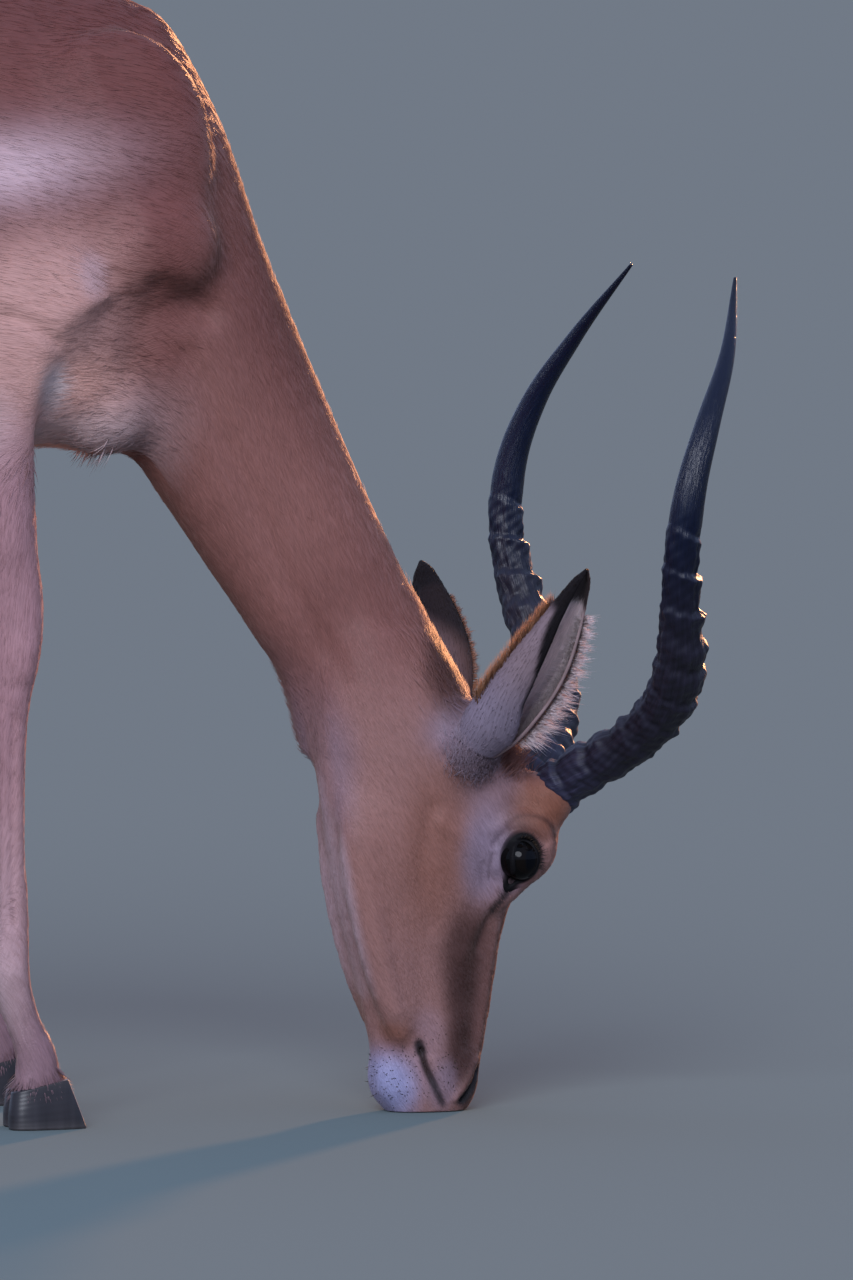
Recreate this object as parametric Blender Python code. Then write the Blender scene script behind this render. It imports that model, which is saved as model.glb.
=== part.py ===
"""A grazing impala ram, life size, as a still museum model.

The animal faces +X with its right side towards -Y, and stands on four cloven feet with its
lips on the ground. Every soft part is a loft: rings that hang between a dorsal and a ventral
point of the side view, with a half-width across the body. The lofts are fused, thinned to a
light mesh and parted with thin cuts into trunk, neck, head and legs. Horns, hooves, eyes, ears
and tail are solids of their own, seated in pits with a small gap.

Body coordinates have X = 0 over the fore hooves, Y = 0 on the middle plane and Z = 0 on the
ground. The last step moves everything so that the origin is under the middle of the box.
"""

import math

import bmesh
import bpy
import numpy as np
from mathutils import Matrix, Vector

# ------------------------------------------------------------------ driving dimensions, metres
GAP = 0.0004  # clearance between two halves of a thin cut
PIT_DEPTH = 0.002  # how much deeper a pit is than the foot that stands in it
PIT_GAP = 0.0008  # clearance round a foot or a ball in its pit, more because its facets are flat
FUSE_VOXEL = 0.006  # grain of the fused flesh
SMOOTHING_ROUNDS = 10
FLESH_SHARE = 0.030  # share of the fused mesh's triangles that is kept
FINE_HEAD = 1e-5  # how much dearer it is to thin the head than the body

FORE_TRACK = 0.090  # half the distance between the fore hooves
HIND_TRACK = 0.085
HIND_STAGGER = 0.030  # right hind foot forward of its station, left hind foot behind it

EYE_LEVEL = Vector((0.3640, -0.010, 0.1860))  # origin of the head's own frame, on its middle plane
HEAD_TURN = math.radians(9.0)  # the head looks a little to the animal's left
EYE_RADIUS = 0.0165
EYE_CENTRE = (-0.0055, 0.0400, 0.001)
LID_OPENING = (0.0135, 0.0150)  # half-width across and half-length along the face

HOOF_HEIGHT = 0.036  # coronet above the ground at the toe
HEEL_HEIGHT = 0.027
CORONET_TOE = 0.0205  # how far the coronet reaches ahead of the foot's middle, and behind it
CORONET_HEEL = -0.0215
CLEFT = 0.0014  # half the slot between the two claws of a foot
# Rings of a claw: toe x and z, heel x and z, half-width, egg, distance from the foot's middle.
CLAW = (
    (CORONET_TOE, HOOF_HEIGHT, CORONET_HEEL, HEEL_HEIGHT, 0.0090, -0.10, 0.0104),
    (0.0270, 0.0190, -0.0235, 0.0130, 0.0100, -0.25, 0.0114),
    (0.0340, 0.0000, -0.0235, 0.0000, 0.0104, -0.42, 0.0120),
)

# Side-view stations: place, dorsal or front x and z, ventral or back x and z, half-width, egg.
# Egg above 0 makes the ring wider at its dorsal or front end, and below 0 narrower there.
TRUNK = (
    ("buttock", -0.700, 0.760, -0.708, 0.670, 0.050, 0.00),
    ("tail root", -0.672, 0.808, -0.692, 0.610, 0.088, -0.05),
    ("rump", -0.620, 0.841, -0.642, 0.574, 0.118, -0.10),
    ("croup", -0.540, 0.854, -0.560, 0.550, 0.128, -0.15),
    ("loin", -0.430, 0.844, -0.445, 0.524, 0.124, -0.18),
    ("belly", -0.300, 0.830, -0.305, 0.492, 0.134, -0.20),
    ("last rib", -0.190, 0.823, -0.180, 0.470, 0.135, -0.24),
    ("girth", -0.080, 0.827, -0.060, 0.473, 0.118, -0.30),
    ("withers", 0.020, 0.834, 0.020, 0.490, 0.096, -0.34),
    ("chest front", 0.083, 0.821, 0.062, 0.486, 0.078, -0.25),
    ("breast", 0.108, 0.766, 0.086, 0.518, 0.056, -0.10),
)
NECK = (
    ("in the chest", 0.020, 0.818, -0.020, 0.518, 0.060, -0.20),
    ("front of withers", 0.103, 0.814, 0.040, 0.492, 0.070, -0.25),
    ("base of neck", 0.146, 0.749, 0.078, 0.484, 0.070, -0.18),
    ("lower neck", 0.187, 0.634, 0.106, 0.449, 0.064, -0.12),
    ("mid neck", 0.2295, 0.532, 0.136, 0.404, 0.056, -0.08),
    ("upper neck", 0.279, 0.421, 0.173, 0.349, 0.050, -0.05),
    ("behind the jaw", 0.321, 0.338, 0.199, 0.303, 0.047, 0.00),
    ("throat", 0.342, 0.300, 0.212, 0.256, 0.045, 0.00),
)
# The head's stations are in its own frame: height above eye level, forehead line, jaw line,
# half-width, egg.
HEAD = (
    ("in the neck", 0.172, -0.064, -0.140, 0.028, 0.00),
    ("nape", 0.140, -0.043, -0.150, 0.038, 0.00),
    ("poll", 0.112, -0.028, -0.152, 0.042, 0.05),
    ("behind the horns", 0.085, -0.004, -0.151, 0.0445, 0.08),
    ("horn base", 0.050, 0.018, -0.148, 0.0450, 0.05),
    ("brow", 0.022, 0.024, -0.143, 0.0440, 0.00),
    ("eye", 0.000, 0.016, -0.139, 0.0430, -0.04),
    ("stop", -0.030, 0.004, -0.1335, 0.0390, -0.10),
    ("cheek end", -0.060, -0.0044, -0.126, 0.0330, -0.16),
    ("nose bridge", -0.100, -0.0108, -0.1160, 0.0280, -0.12),
    ("nostrils", -0.148, -0.0203, -0.1055, 0.0270, 0.00),
    ("lips", -0.174, -0.0255, -0.1000, 0.0260, 0.05),
    ("lip edge", -0.198, -0.0390, -0.0905, 0.0190, 0.00),
)
FORE_LEG = (
    ("upper arm", 0.060, 0.608, -0.090, 0.578, 0.030, 0.00),
    ("elbow", 0.004, 0.523, -0.090, 0.523, 0.031, 0.05),
    ("forearm top", 0.000, 0.468, -0.072, 0.473, 0.0300, 0.05),
    ("forearm", 0.002, 0.423, -0.055, 0.426, 0.0260, 0.05),
    ("above the knee", 0.0065, 0.380, -0.041, 0.380, 0.0225, 0.00),
    ("knee", 0.0040, 0.343, -0.0385, 0.341, 0.0232, 0.10),
    ("below the knee", -0.0035, 0.312, -0.0370, 0.314, 0.0200, 0.05),
    ("cannon top", -0.0058, 0.273, -0.0345, 0.273, 0.0160, 0.00),
    ("cannon", -0.0055, 0.193, -0.0330, 0.193, 0.0145, 0.00),
    ("cannon end", -0.0030, 0.142, -0.0345, 0.140, 0.0158, 0.00),
    ("fetlock", -0.0030, 0.116, -0.0375, 0.110, 0.0185, 0.00),
    ("pastern", 0.0055, 0.080, -0.0275, 0.074, 0.0165, 0.00),
    ("low pastern", 0.0180, 0.056, -0.0195, 0.050, 0.0168, 0.00),
    ("coronet", 0.0205, 0.038, -0.0225, 0.029, 0.0190, 0.00),
    ("in the hoof", 0.0245, 0.020, -0.0220, 0.012, 0.0180, 0.00),
)
HIND_LEG = (
    ("hip", -0.480, 0.788, -0.660, 0.793, 0.042, 0.00),
    ("thigh top", -0.448, 0.708, -0.700, 0.718, 0.050, 0.00),
    ("thigh", -0.448, 0.623, -0.708, 0.650, 0.051, 0.05),
    ("thigh end", -0.458, 0.553, -0.690, 0.586, 0.046, 0.10),
    ("stifle", -0.484, 0.503, -0.664, 0.530, 0.038, 0.15),
    ("gaskin top", -0.524, 0.460, -0.660, 0.484, 0.0305, 0.15),
    ("gaskin", -0.572, 0.420, -0.678, 0.450, 0.0250, 0.10),
    ("above the hock", -0.615, 0.386, -0.706, 0.424, 0.0205, 0.10),
    ("hock", -0.643, 0.354, -0.726, 0.394, 0.0205, 0.15),
    ("hock end", -0.655, 0.322, -0.714, 0.336, 0.0210, 0.10),
    ("cannon top", -0.657, 0.288, -0.697, 0.293, 0.0172, 0.00),
    ("cannon", -0.650, 0.208, -0.6835, 0.208, 0.0148, 0.00),
    ("cannon end", -0.643, 0.144, -0.6765, 0.144, 0.0158, 0.00),
    ("fetlock", -0.638, 0.116, -0.6760, 0.112, 0.0185, 0.00),
    ("pastern", -0.6200, 0.080, -0.6520, 0.074, 0.0165, 0.00),
    ("low pastern", -0.6055, 0.056, -0.6415, 0.050, 0.0168, 0.00),
    ("coronet", -0.6035, 0.038, -0.6465, 0.029, 0.0190, 0.00),
    ("in the hoof", -0.5995, 0.020, -0.6460, 0.012, 0.0180, 0.00),
)
HIND_HOOF_X = -0.624  # the hind hoof's station, where the fore hoof's is 0
TAIL = (
    ("root", -0.690, 0.793, -0.676, 0.763, 0.020, 0.00),
    ("bend", -0.722, 0.768, -0.700, 0.753, 0.019, 0.00),
    ("upper", -0.738, 0.723, -0.714, 0.720, 0.020, 0.00),
    ("middle", -0.744, 0.648, -0.718, 0.648, 0.022, 0.00),
    ("brush", -0.744, 0.578, -0.720, 0.578, 0.021, 0.00),
    ("lower brush", -0.741, 0.528, -0.724, 0.528, 0.014, 0.00),
    ("tip", -0.736, 0.496, -0.732, 0.496, 0.004, 0.00),
)
# Muscle and bone masses added on each side: centre, radii, lean forward in degrees.
BODY_MASSES = (
    ("shoulder blade", (0.052, 0.052, 0.686), (0.088, 0.036, 0.118), 14),
    ("point of shoulder", (0.088, 0.063, 0.640), (0.056, 0.036, 0.048), 0),
    ("triceps", (-0.030, 0.080, 0.598), (0.088, 0.040, 0.072), -18),
    ("breast muscle", (0.060, 0.032, 0.530), (0.048, 0.040, 0.046), 0),
    ("hip bone", (-0.510, 0.078, 0.774), (0.100, 0.040, 0.048), 10),
)
HEAD_MASSES = (
    ("eye ring", (0.0020, 0.0330, 0.0085), (0.0262, 0.0215, 0.0300), 18),
    ("below the eye", (-0.0055, 0.0290, -0.0152), (0.0130, 0.0130, 0.0330), 40),
    ("horn root", (0.021, 0.0290, 0.044), (0.0225, 0.0225, 0.0235), 0),
    ("jaw bone", (-0.112, 0.0260, -0.040), (0.0210, 0.0140, 0.1000), -12.8),
    ("cheek", (-0.088, 0.0265, 0.020), (0.046, 0.0190, 0.058), 0),
    ("ear root", (-0.041, 0.0400, 0.092), (0.027, 0.0200, 0.028), 0),
    ("nostril wing", (-0.044, 0.0150, -0.166), (0.017, 0.0125, 0.020), 0),
    ("chin", (-0.0905, 0.0090, -0.160), (0.0185, 0.0150, 0.025), 0),
)

# Right horn in the head's frame: forward, sideways, up; then the half-thickness there.
HORN = (
    (0.014, 0.024, 0.034, 0.0205),
    (0.027, 0.029, 0.050, 0.0208),
    (0.043, 0.047, 0.066, 0.0203),
    (0.060, 0.074, 0.082, 0.0198),
    (0.074, 0.102, 0.102, 0.0198),
    (0.080, 0.128, 0.124, 0.0200),
    (0.078, 0.153, 0.153, 0.0190),
    (0.071, 0.173, 0.192, 0.0163),
    (0.067, 0.185, 0.236, 0.0134),
    (0.073, 0.187, 0.280, 0.0116),
    (0.089, 0.179, 0.326, 0.0092),
    (0.111, 0.158, 0.370, 0.0062),
    (0.138, 0.107, 0.428, 0.0016),
)
HORN_RINGS = 12
HORN_STEPS = 50
RINGED_SHARE = 0.62  # of the horn's length from its base
RING_HEIGHT = 0.0022

# Ear axes in the head's frame: foot and tip, with the way that the opening faces.
EAR_FOOT = (-0.039, 0.044, 0.088)
RIGHT_EAR_TIP = (0.014, -0.130, 0.219)
LEFT_EAR_TIP = (-0.020, 0.131, 0.209)
RIGHT_EAR_FACES = (0.41, -0.68, -0.61)
LEFT_EAR_FACES = (0.91, 0.24, -0.33)
# Share of the ear's length, half-width, half-thickness.
EAR = (
    (0.00, 0.0205, 0.0195),
    (0.12, 0.0265, 0.0235),
    (0.28, 0.0300, 0.0225),
    (0.48, 0.0290, 0.0200),
    (0.68, 0.0225, 0.0150),
    (0.86, 0.0150, 0.0085),
    (0.95, 0.0092, 0.0052),
    (1.00, 0.0030, 0.0024),
)
EAR_BOW = 0.006  # how far the middle of the ear bows towards its opening
EAR_WALL = (0.0050, 0.0030)  # thickness at the two edges and at the back
EAR_HOLLOW_LIFT = 0.0130  # how far the hollow is shifted towards the ear's opening

# Lines of the side view that part the body, each from its upper to its lower end.
NECK_CUT = ((0.215, 0.918), (0.074, 0.470))
HEAD_CUT = ((0.345, 0.333), (0.190, 0.280))
FORE_SPACE = (0.066, -0.220)
LEG_TOP = 0.4600  # height where the fore legs leave the trunk
HAUNCH_LINE = ((-0.400, 0.480), (-0.455, 0.550), (-0.600, 0.618), (-0.800, 0.643))
HAUNCH_INNER = 0.022  # the trunk keeps a web this far each side of its middle plane

SIDES = (("right", -1), ("left", 1))

COLOURS = {
    "coat": ((0.34, 0.155, 0.080), 0.75),
    "face": ((0.37, 0.180, 0.105), 0.75),
    "leg": ((0.40, 0.220, 0.140), 0.75),
    "brush": ((0.62, 0.52, 0.42), 0.80),
    "horn": ((0.045, 0.035, 0.032), 0.38),
    "hoof": ((0.030, 0.027, 0.026), 0.42),
    "eye": ((0.010, 0.007, 0.006), 0.08),
}


# ------------------------------------------------------------------ lofts
def through(rows, count):
    """Rows of numbers at stations, carried by a smooth cubic through every row to `count` rows."""
    rows = np.asarray(rows, float)
    steps = np.maximum(np.linalg.norm(np.diff(rows[:, :3], axis=0), axis=1), 1e-6)
    at = np.concatenate([[0.0], np.cumsum(steps)])
    slope = np.gradient(rows, at, axis=0)
    want = np.linspace(0.0, at[-1], count)
    i = np.clip(np.searchsorted(at, want, side="right") - 1, 0, len(at) - 2)
    span = (at[i + 1] - at[i])[:, None]
    t = ((want - at[i]) / span[:, 0])[:, None]
    stay = (1 + 2 * t) * (1 - t) ** 2
    lean = t * (1 - t) ** 2
    return (
        stay * rows[i]
        + lean * span * slope[i]
        + (1 - stay) * rows[i + 1]
        - (1 - t) * t**2 * span * slope[i + 1]
    )


def ring_grid(centres, ups, sides, egg, around, squareness=0.90):
    """Rings of `around` points: centre + up * sine + side * cosine * (1 + egg * sine)."""
    angle = np.linspace(0.0, 2 * math.pi, around, endpoint=False)
    across = np.sign(np.cos(angle)) * np.abs(np.cos(angle)) ** squareness
    along = np.sign(np.sin(angle)) * np.abs(np.sin(angle)) ** squareness
    width = across * (1 + np.asarray(egg)[:, None] * along)
    return (
        centres[:, None]
        + ups[:, None] * along[None, :, None]
        + sides[:, None] * width[:, :, None]
    )


def side_view_grid(stations, count, around, middle=0.0, grow=0.0):
    """A loft whose rings hang between the dorsal and ventral points of the side view."""
    rows = through([row[1:] for row in stations], count)
    dorsal_x, dorsal_z, ventral_x, ventral_z, width, egg = rows.T
    zero = np.zeros(count)
    centres = np.stack(
        [(dorsal_x + ventral_x) / 2, zero + middle, (dorsal_z + ventral_z) / 2], 1
    )
    ups = np.stack([(dorsal_x - ventral_x) / 2, zero, (dorsal_z - ventral_z) / 2], 1)
    ups *= 1 + grow / np.linalg.norm(ups, axis=1)[:, None]
    width = width + grow
    return ring_grid(centres, ups, np.stack([zero, width, zero], 1), egg, around)


def head_grid(count, around):
    """The head's loft, in the head's frame: level rings from the nape down to the lips."""
    rows = through([(row[1], row[2], row[3], row[4], row[5]) for row in HEAD], count)
    height, brow, jaw, width, egg = rows.T
    zero = np.zeros(count)
    centres = np.stack([(brow + jaw) / 2, zero, height], 1)
    ups = np.stack([(brow - jaw) / 2, zero, zero], 1)
    return ring_grid(centres, ups, np.stack([zero, width, zero], 1), egg, around)


def tube_grid(path, flat, thick, facing, around):
    """Rings square to a path in space, `flat` wide and `thick` deep towards `facing`."""
    tangent = np.gradient(path, axis=0)
    tangent /= np.linalg.norm(tangent, axis=1)[:, None]
    facing = np.broadcast_to(np.asarray(facing, float), path.shape)
    deep = facing - (facing * tangent).sum(1)[:, None] * tangent
    deep /= np.linalg.norm(deep, axis=1)[:, None]
    wide = np.cross(deep, tangent)
    return ring_grid(
        path, deep * thick[:, None], wide * flat[:, None], np.zeros(len(path)), around, 1.0
    )


def mesh_from_grid(grid):
    """A closed mesh from rings of points, with a flat cap at each end, facing out."""
    count, around = grid.shape[:2]
    made = bmesh.new()
    rings = [[made.verts.new(p) for p in ring] for ring in grid]
    for low, high in zip(rings, rings[1:]):
        for j in range(around):
            k = (j + 1) % around
            made.faces.new((low[j], low[k], high[k], high[j]))
    made.faces.new(rings[0][::-1])
    made.faces.new(rings[count - 1])
    bmesh.ops.recalc_face_normals(made, faces=made.faces)
    return made


# ------------------------------------------------------------------ objects
def material(name):
    """A Principled material with one of the model's colours."""
    found = bpy.data.materials.get(name)
    if found:
        return found
    colour, roughness = COLOURS[name]
    made = bpy.data.materials.new(name)
    made.use_nodes = True
    shader = made.node_tree.nodes["Principled BSDF"]
    shader.inputs["Base Color"].default_value = (*colour, 1.0)
    shader.inputs["Roughness"].default_value = roughness
    shader.inputs["Metallic"].default_value = 0.0
    return made


def object_from(name, made, colour=None):
    """A scene object that owns the bmesh's shape."""
    mesh = bpy.data.meshes.new(name)
    made.to_mesh(mesh)
    made.free()
    obj = bpy.data.objects.new(name, mesh)
    bpy.context.scene.collection.objects.link(obj)
    if colour:
        mesh.materials.append(material(colour))
    return obj


def copy_of(obj, name, colour):
    """A second object with its own copy of the shape."""
    twin = bpy.data.objects.new(name, obj.data.copy())
    bpy.context.scene.collection.objects.link(twin)
    twin.data.materials.clear()
    twin.data.materials.append(material(colour))
    return twin


def bake(obj):
    """Replaces the object's mesh by what its modifiers make of it."""
    bpy.context.view_layer.update()
    graph = bpy.context.evaluated_depsgraph_get()
    mesh = bpy.data.meshes.new_from_object(obj.evaluated_get(graph))
    obj.modifiers.clear()
    obj.data = mesh


def combine(obj, cutter, operation):
    """Applies one exact Boolean and keeps the cutter for further use."""
    boolean = obj.modifiers.new(operation.title(), "BOOLEAN")
    boolean.operation = operation
    boolean.object = cutter
    boolean.solver = "EXACT"
    bake(obj)


def discard(*objects):
    """Removes helpers that have done their work."""
    for obj in objects:
        bpy.data.objects.remove(obj)


def keep_largest(obj):
    """Removes the slivers that a cut can leave beside the part."""
    made = bmesh.new()
    made.from_mesh(obj.data)
    left = set(made.verts)
    islands = []
    while left:
        seed = left.pop()
        island, front = {seed}, [seed]
        while front:
            for edge in front.pop().link_edges:
                for vert in edge.verts:
                    if vert in left:
                        left.remove(vert)
                        island.add(vert)
                        front.append(vert)
        islands.append(island)
    islands.sort(key=len)
    bmesh.ops.delete(made, geom=[v for island in islands[:-1] for v in island], context="VERTS")
    made.to_mesh(obj.data)
    made.free()


def ellipsoid(centre, radii, lean=0.0, segments=20, rings=12):
    """A bmesh ellipsoid, leaned forward about the Y axis."""
    made = bmesh.new()
    place = (
        Matrix.Translation(centre)
        @ Matrix.Rotation(math.radians(lean), 4, "Y")
        @ Matrix.Diagonal((*radii, 1.0))
    )
    bmesh.ops.create_uvsphere(made, u_segments=segments, v_segments=rings, radius=1.0, matrix=place)
    return made


def mirrored(point, side):
    """The same place on the left (side 1) or the right (side -1)."""
    return Vector((point[0], side * point[1], point[2]))


def head_frame():
    """From the head's own frame to body coordinates."""
    return Matrix.Translation(EYE_LEVEL) @ Matrix.Rotation(HEAD_TURN, 4, "Z")


# ------------------------------------------------------------------ flesh
def add_to(target, made, matrix=None):
    """Adds one closed shape to the heap that is fused later."""
    if matrix is not None:
        made.transform(matrix)
    mesh = bpy.data.meshes.new("shape")
    made.to_mesh(mesh)
    made.free()
    target.from_mesh(mesh)
    bpy.data.meshes.remove(mesh)


def fused_flesh():
    """All lofts and masses of the body fused into one light closed mesh."""
    heap = bmesh.new()
    add_to(heap, mesh_from_grid(side_view_grid(TRUNK, 60, 40)))
    add_to(heap, mesh_from_grid(side_view_grid(NECK, 50, 36)))
    add_to(heap, mesh_from_grid(head_grid(50, 36)), head_frame())
    for side in (-1, 1):
        stagger = -side * HIND_STAGGER
        add_to(heap, mesh_from_grid(side_view_grid(FORE_LEG, 70, 24, side * FORE_TRACK)))
        add_to(heap, mesh_from_grid(hind_grid(side, stagger)))
        for _, centre, radii, lean in BODY_MASSES:
            add_to(heap, ellipsoid(mirrored(centre, side), radii, lean))
        for _, centre, radii, lean in HEAD_MASSES:
            add_to(heap, ellipsoid(mirrored(centre, side), radii, lean), head_frame())
    flesh = object_from("flesh", heap, "coat")
    remesh = flesh.modifiers.new("Fuse", "REMESH")
    remesh.mode = "VOXEL"
    remesh.voxel_size = FUSE_VOXEL
    soften = flesh.modifiers.new("Soften", "SMOOTH")
    soften.factor = 0.5
    soften.iterations = SMOOTHING_ROUNDS
    bake(flesh)
    coarse = flesh.vertex_groups.new(name="coarse")
    for vert in flesh.data.vertices:
        in_head = vert.co.x > HEAD_CUT[1][0] and vert.co.z < HEAD_CUT[0][1]
        coarse.add([vert.index], 0.5 if in_head else 1.0, "REPLACE")
    thin = flesh.modifiers.new("Thin", "DECIMATE")
    thin.ratio = FLESH_SHARE
    thin.vertex_group = coarse.name
    thin.vertex_group_factor = FINE_HEAD
    bake(flesh)
    return flesh


def hind_grid(side, stagger):
    """The hind leg's loft. The stagger grows from nothing at the hip to its full value at the foot."""
    grid = side_view_grid(HIND_LEG, 90, 28, side * HIND_TRACK)
    height = grid[:, :, 2]
    share = np.clip((0.62 - height) / (0.62 - 0.10), 0.0, 1.0)
    grid[:, :, 0] += stagger * share * share * (3 - 2 * share)
    return grid


# ------------------------------------------------------------------ cutters
def prism(outline, low=-0.6, high=0.6):
    """A prism whose outline lies in the side view, from Y = low to Y = high."""
    made = bmesh.new()
    near = [made.verts.new((x, low, z)) for x, z in outline]
    far = [made.verts.new((x, high, z)) for x, z in outline]
    made.faces.new(near)
    made.faces.new(far[::-1])
    for i in range(len(outline)):
        k = (i + 1) % len(outline)
        made.faces.new((near[i], far[i], far[k], near[k]))
    bmesh.ops.recalc_face_normals(made, faces=made.faces)
    return object_from("cutter", made)


def kept_in(obj, cutter):
    """Keeps what lies inside the cutter, which is used up."""
    combine(obj, cutter, "INTERSECT")
    discard(cutter)


def cut_by(obj, cutter):
    """Takes the cutter's space away from the object. The cutter is used up."""
    combine(obj, cutter, "DIFFERENCE")
    discard(cutter)


def ahead(back_off=0.0):
    """The space in front of the trunk, for the neck and the head. It starts `back_off` early."""
    top, bottom = NECK_CUT
    x = -back_off
    return prism(
        ((top[0] + x, top[1]), (bottom[0] + x, bottom[1]), (bottom[0] + x, -0.3), (1.2, -0.3), (1.2, top[1]))
    )


def headward(back_off=0.0):
    """The space below and ahead of the cut through the throat."""
    top, bottom = HEAD_CUT
    z = back_off
    return prism(
        ((top[0], top[1] + z), (bottom[0], bottom[1] + z), (bottom[0], -0.3), (1.2, -0.3), (1.2, top[1] + z))
    )


def fore_space(side, grow=0.0):
    """The space of one fore leg, below the breast and behind the muzzle."""
    front, back = FORE_SPACE
    top = LEG_TOP + grow
    low, high = sorted((side * 0.002, side * 0.4))
    return prism(((back, -0.3), (back, top), (front, top), (front, -0.3)), low, high)


def hind_space(side, grow=0.0):
    """The space of one hind leg, below the haunch line and outside the trunk's middle web."""
    line = [(x, z + grow) for x, z in HAUNCH_LINE]
    line[0] = (line[0][0] + grow, line[0][1])
    low, high = sorted((side * (HAUNCH_INNER - grow), side * 0.4))
    return prism([(line[0][0], -0.3), *line, (line[-1][0], -0.3)], low, high)


def above_coronet(hoof_x):
    """The space over the slanting line where hair ends and the hoof begins."""
    slope = (HOOF_HEIGHT - HEEL_HEIGHT) / (CORONET_TOE - CORONET_HEEL)
    low = HEEL_HEIGHT + GAP + slope * (-0.2 - CORONET_HEEL)
    high = HEEL_HEIGHT + GAP + slope * (0.2 - CORONET_HEEL)
    return prism(((hoof_x - 0.2, low), (hoof_x + 0.2, high), (hoof_x + 0.2, 1.0), (hoof_x - 0.2, 1.0)))


# ------------------------------------------------------------------ horns, ears, eyes, hooves
def horn_grid(side, inflate=0.0, ridges=True):
    """One horn in the head's frame, with its growth rings as low ridges on the lower stretch."""
    rows = through(HORN, HORN_STEPS)
    path = rows[:, :3] * np.array([1.0, side, 1.0])
    share = np.linspace(0.0, 1.0, len(rows))
    fade = np.clip((RINGED_SHARE - share) / 0.12, 0.0, 1.0)
    furrow = 0.5 - 0.5 * np.cos(2 * math.pi * HORN_RINGS * share / RINGED_SHARE)
    radius = rows[:, 3] + inflate - (RING_HEIGHT * fade * furrow if ridges else 0.0)
    return tube_grid(path, radius * 0.94, radius * 1.04, (1.0, 0.0, 0.2), 8)


def build_horn(side, name):
    """A horn with its foot, which stands in the head."""
    horn = object_from(name, mesh_from_grid(horn_grid(side)), "horn")
    horn.data.transform(head_frame())
    return horn


def pit_from(grid):
    """A cutter from a fattened loft, carried on past its foot so that the pit is a little deeper."""
    step = (grid[0] - grid[1]).mean(0)
    deeper = grid[0] + step * (PIT_DEPTH / np.linalg.norm(step))
    return object_from("pit", mesh_from_grid(np.concatenate([deeper[None], grid])))


def horn_pit(side):
    """The pit for a horn's foot."""
    pit = pit_from(horn_grid(side, PIT_GAP, ridges=False)[:12])
    pit.data.transform(head_frame())
    return pit


def ear_grid(side, fatter=(0.0, 0.0), lift=0.0):
    """An ear's outer form or, thinner and lifted towards its opening, the hollow in its face."""
    foot = mirrored(EAR_FOOT, side)
    tip = Vector(LEFT_EAR_TIP if side > 0 else RIGHT_EAR_TIP)
    faces = Vector(LEFT_EAR_FACES if side > 0 else RIGHT_EAR_FACES)
    along = (tip - foot).normalized()
    out = np.array((faces - faces.dot(along) * along).normalized())
    share, wide, thick = through(EAR, 13).T
    path = np.array(foot) + share[:, None] * np.array(tip - foot)
    path = path + out * (lift + EAR_BOW * np.sin(math.pi * share))[:, None]
    wide = np.maximum(wide + fatter[0], 0.0010)
    thick = np.maximum(thick + fatter[1], 0.0010)
    return tube_grid(path, wide, thick, out, 12)


def build_ear(side, name):
    """The ear's outer form, with a hollow cut along its face."""
    ear = object_from(name, mesh_from_grid(ear_grid(side)), "face")
    thinner = (-EAR_WALL[0], -EAR_WALL[1])
    hollow = mesh_from_grid(ear_grid(side, thinner, EAR_HOLLOW_LIFT)[3:12])
    cut_by(ear, object_from("hollow", hollow))
    keep_largest(ear)
    ear.data.transform(head_frame())
    return ear


def ear_pit(side):
    """The pit for an ear's foot."""
    pit = pit_from(ear_grid(side, (PIT_GAP, PIT_GAP))[:5])
    pit.data.transform(head_frame())
    return pit


def build_eye(side, name):
    """An eyeball, whole, as it lies between the lids."""
    ball = ellipsoid(mirrored(EYE_CENTRE, side), (EYE_RADIUS,) * 3, segments=14, rings=8)
    eye = object_from(name, ball, "eye")
    eye.data.transform(head_frame())
    return eye


def eye_socket(side):
    """The ball's space joined to the opening between the lids."""
    grown = EYE_RADIUS + PIT_GAP
    socket = object_from("socket", ellipsoid(mirrored(EYE_CENTRE, side), (grown,) * 3, segments=14, rings=8))
    along, across, up = EYE_CENTRE
    wide, tall = LID_OPENING
    outside = mirrored((along, across + EYE_RADIUS, up), side)
    opening = object_from("opening", ellipsoid(outside, (wide, EYE_RADIUS, tall), segments=14, rings=8))
    combine(socket, opening, "UNION")
    discard(opening)
    socket.data.transform(head_frame())
    return socket


def build_claw(name, hoof_x, middle, toe_side):
    """One half of a cloven hoof: from the slanting coronet down to a flat sole, pointed in front."""
    rows = np.array(CLAW)
    front_x, front_z, back_x, back_z, width, egg, off = rows.T
    zero = np.zeros(len(rows))
    centres = np.stack(
        [(front_x + back_x) / 2 + hoof_x, middle + toe_side * off, (front_z + back_z) / 2], 1
    )
    lengths = np.stack([(front_x - back_x) / 2, zero, (front_z - back_z) / 2], 1)
    sides = np.stack([zero, np.minimum(width, off - CLEFT), zero], 1)
    return object_from(name, mesh_from_grid(ring_grid(centres, lengths, sides, egg, 10, 0.75)), "hoof")


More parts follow.
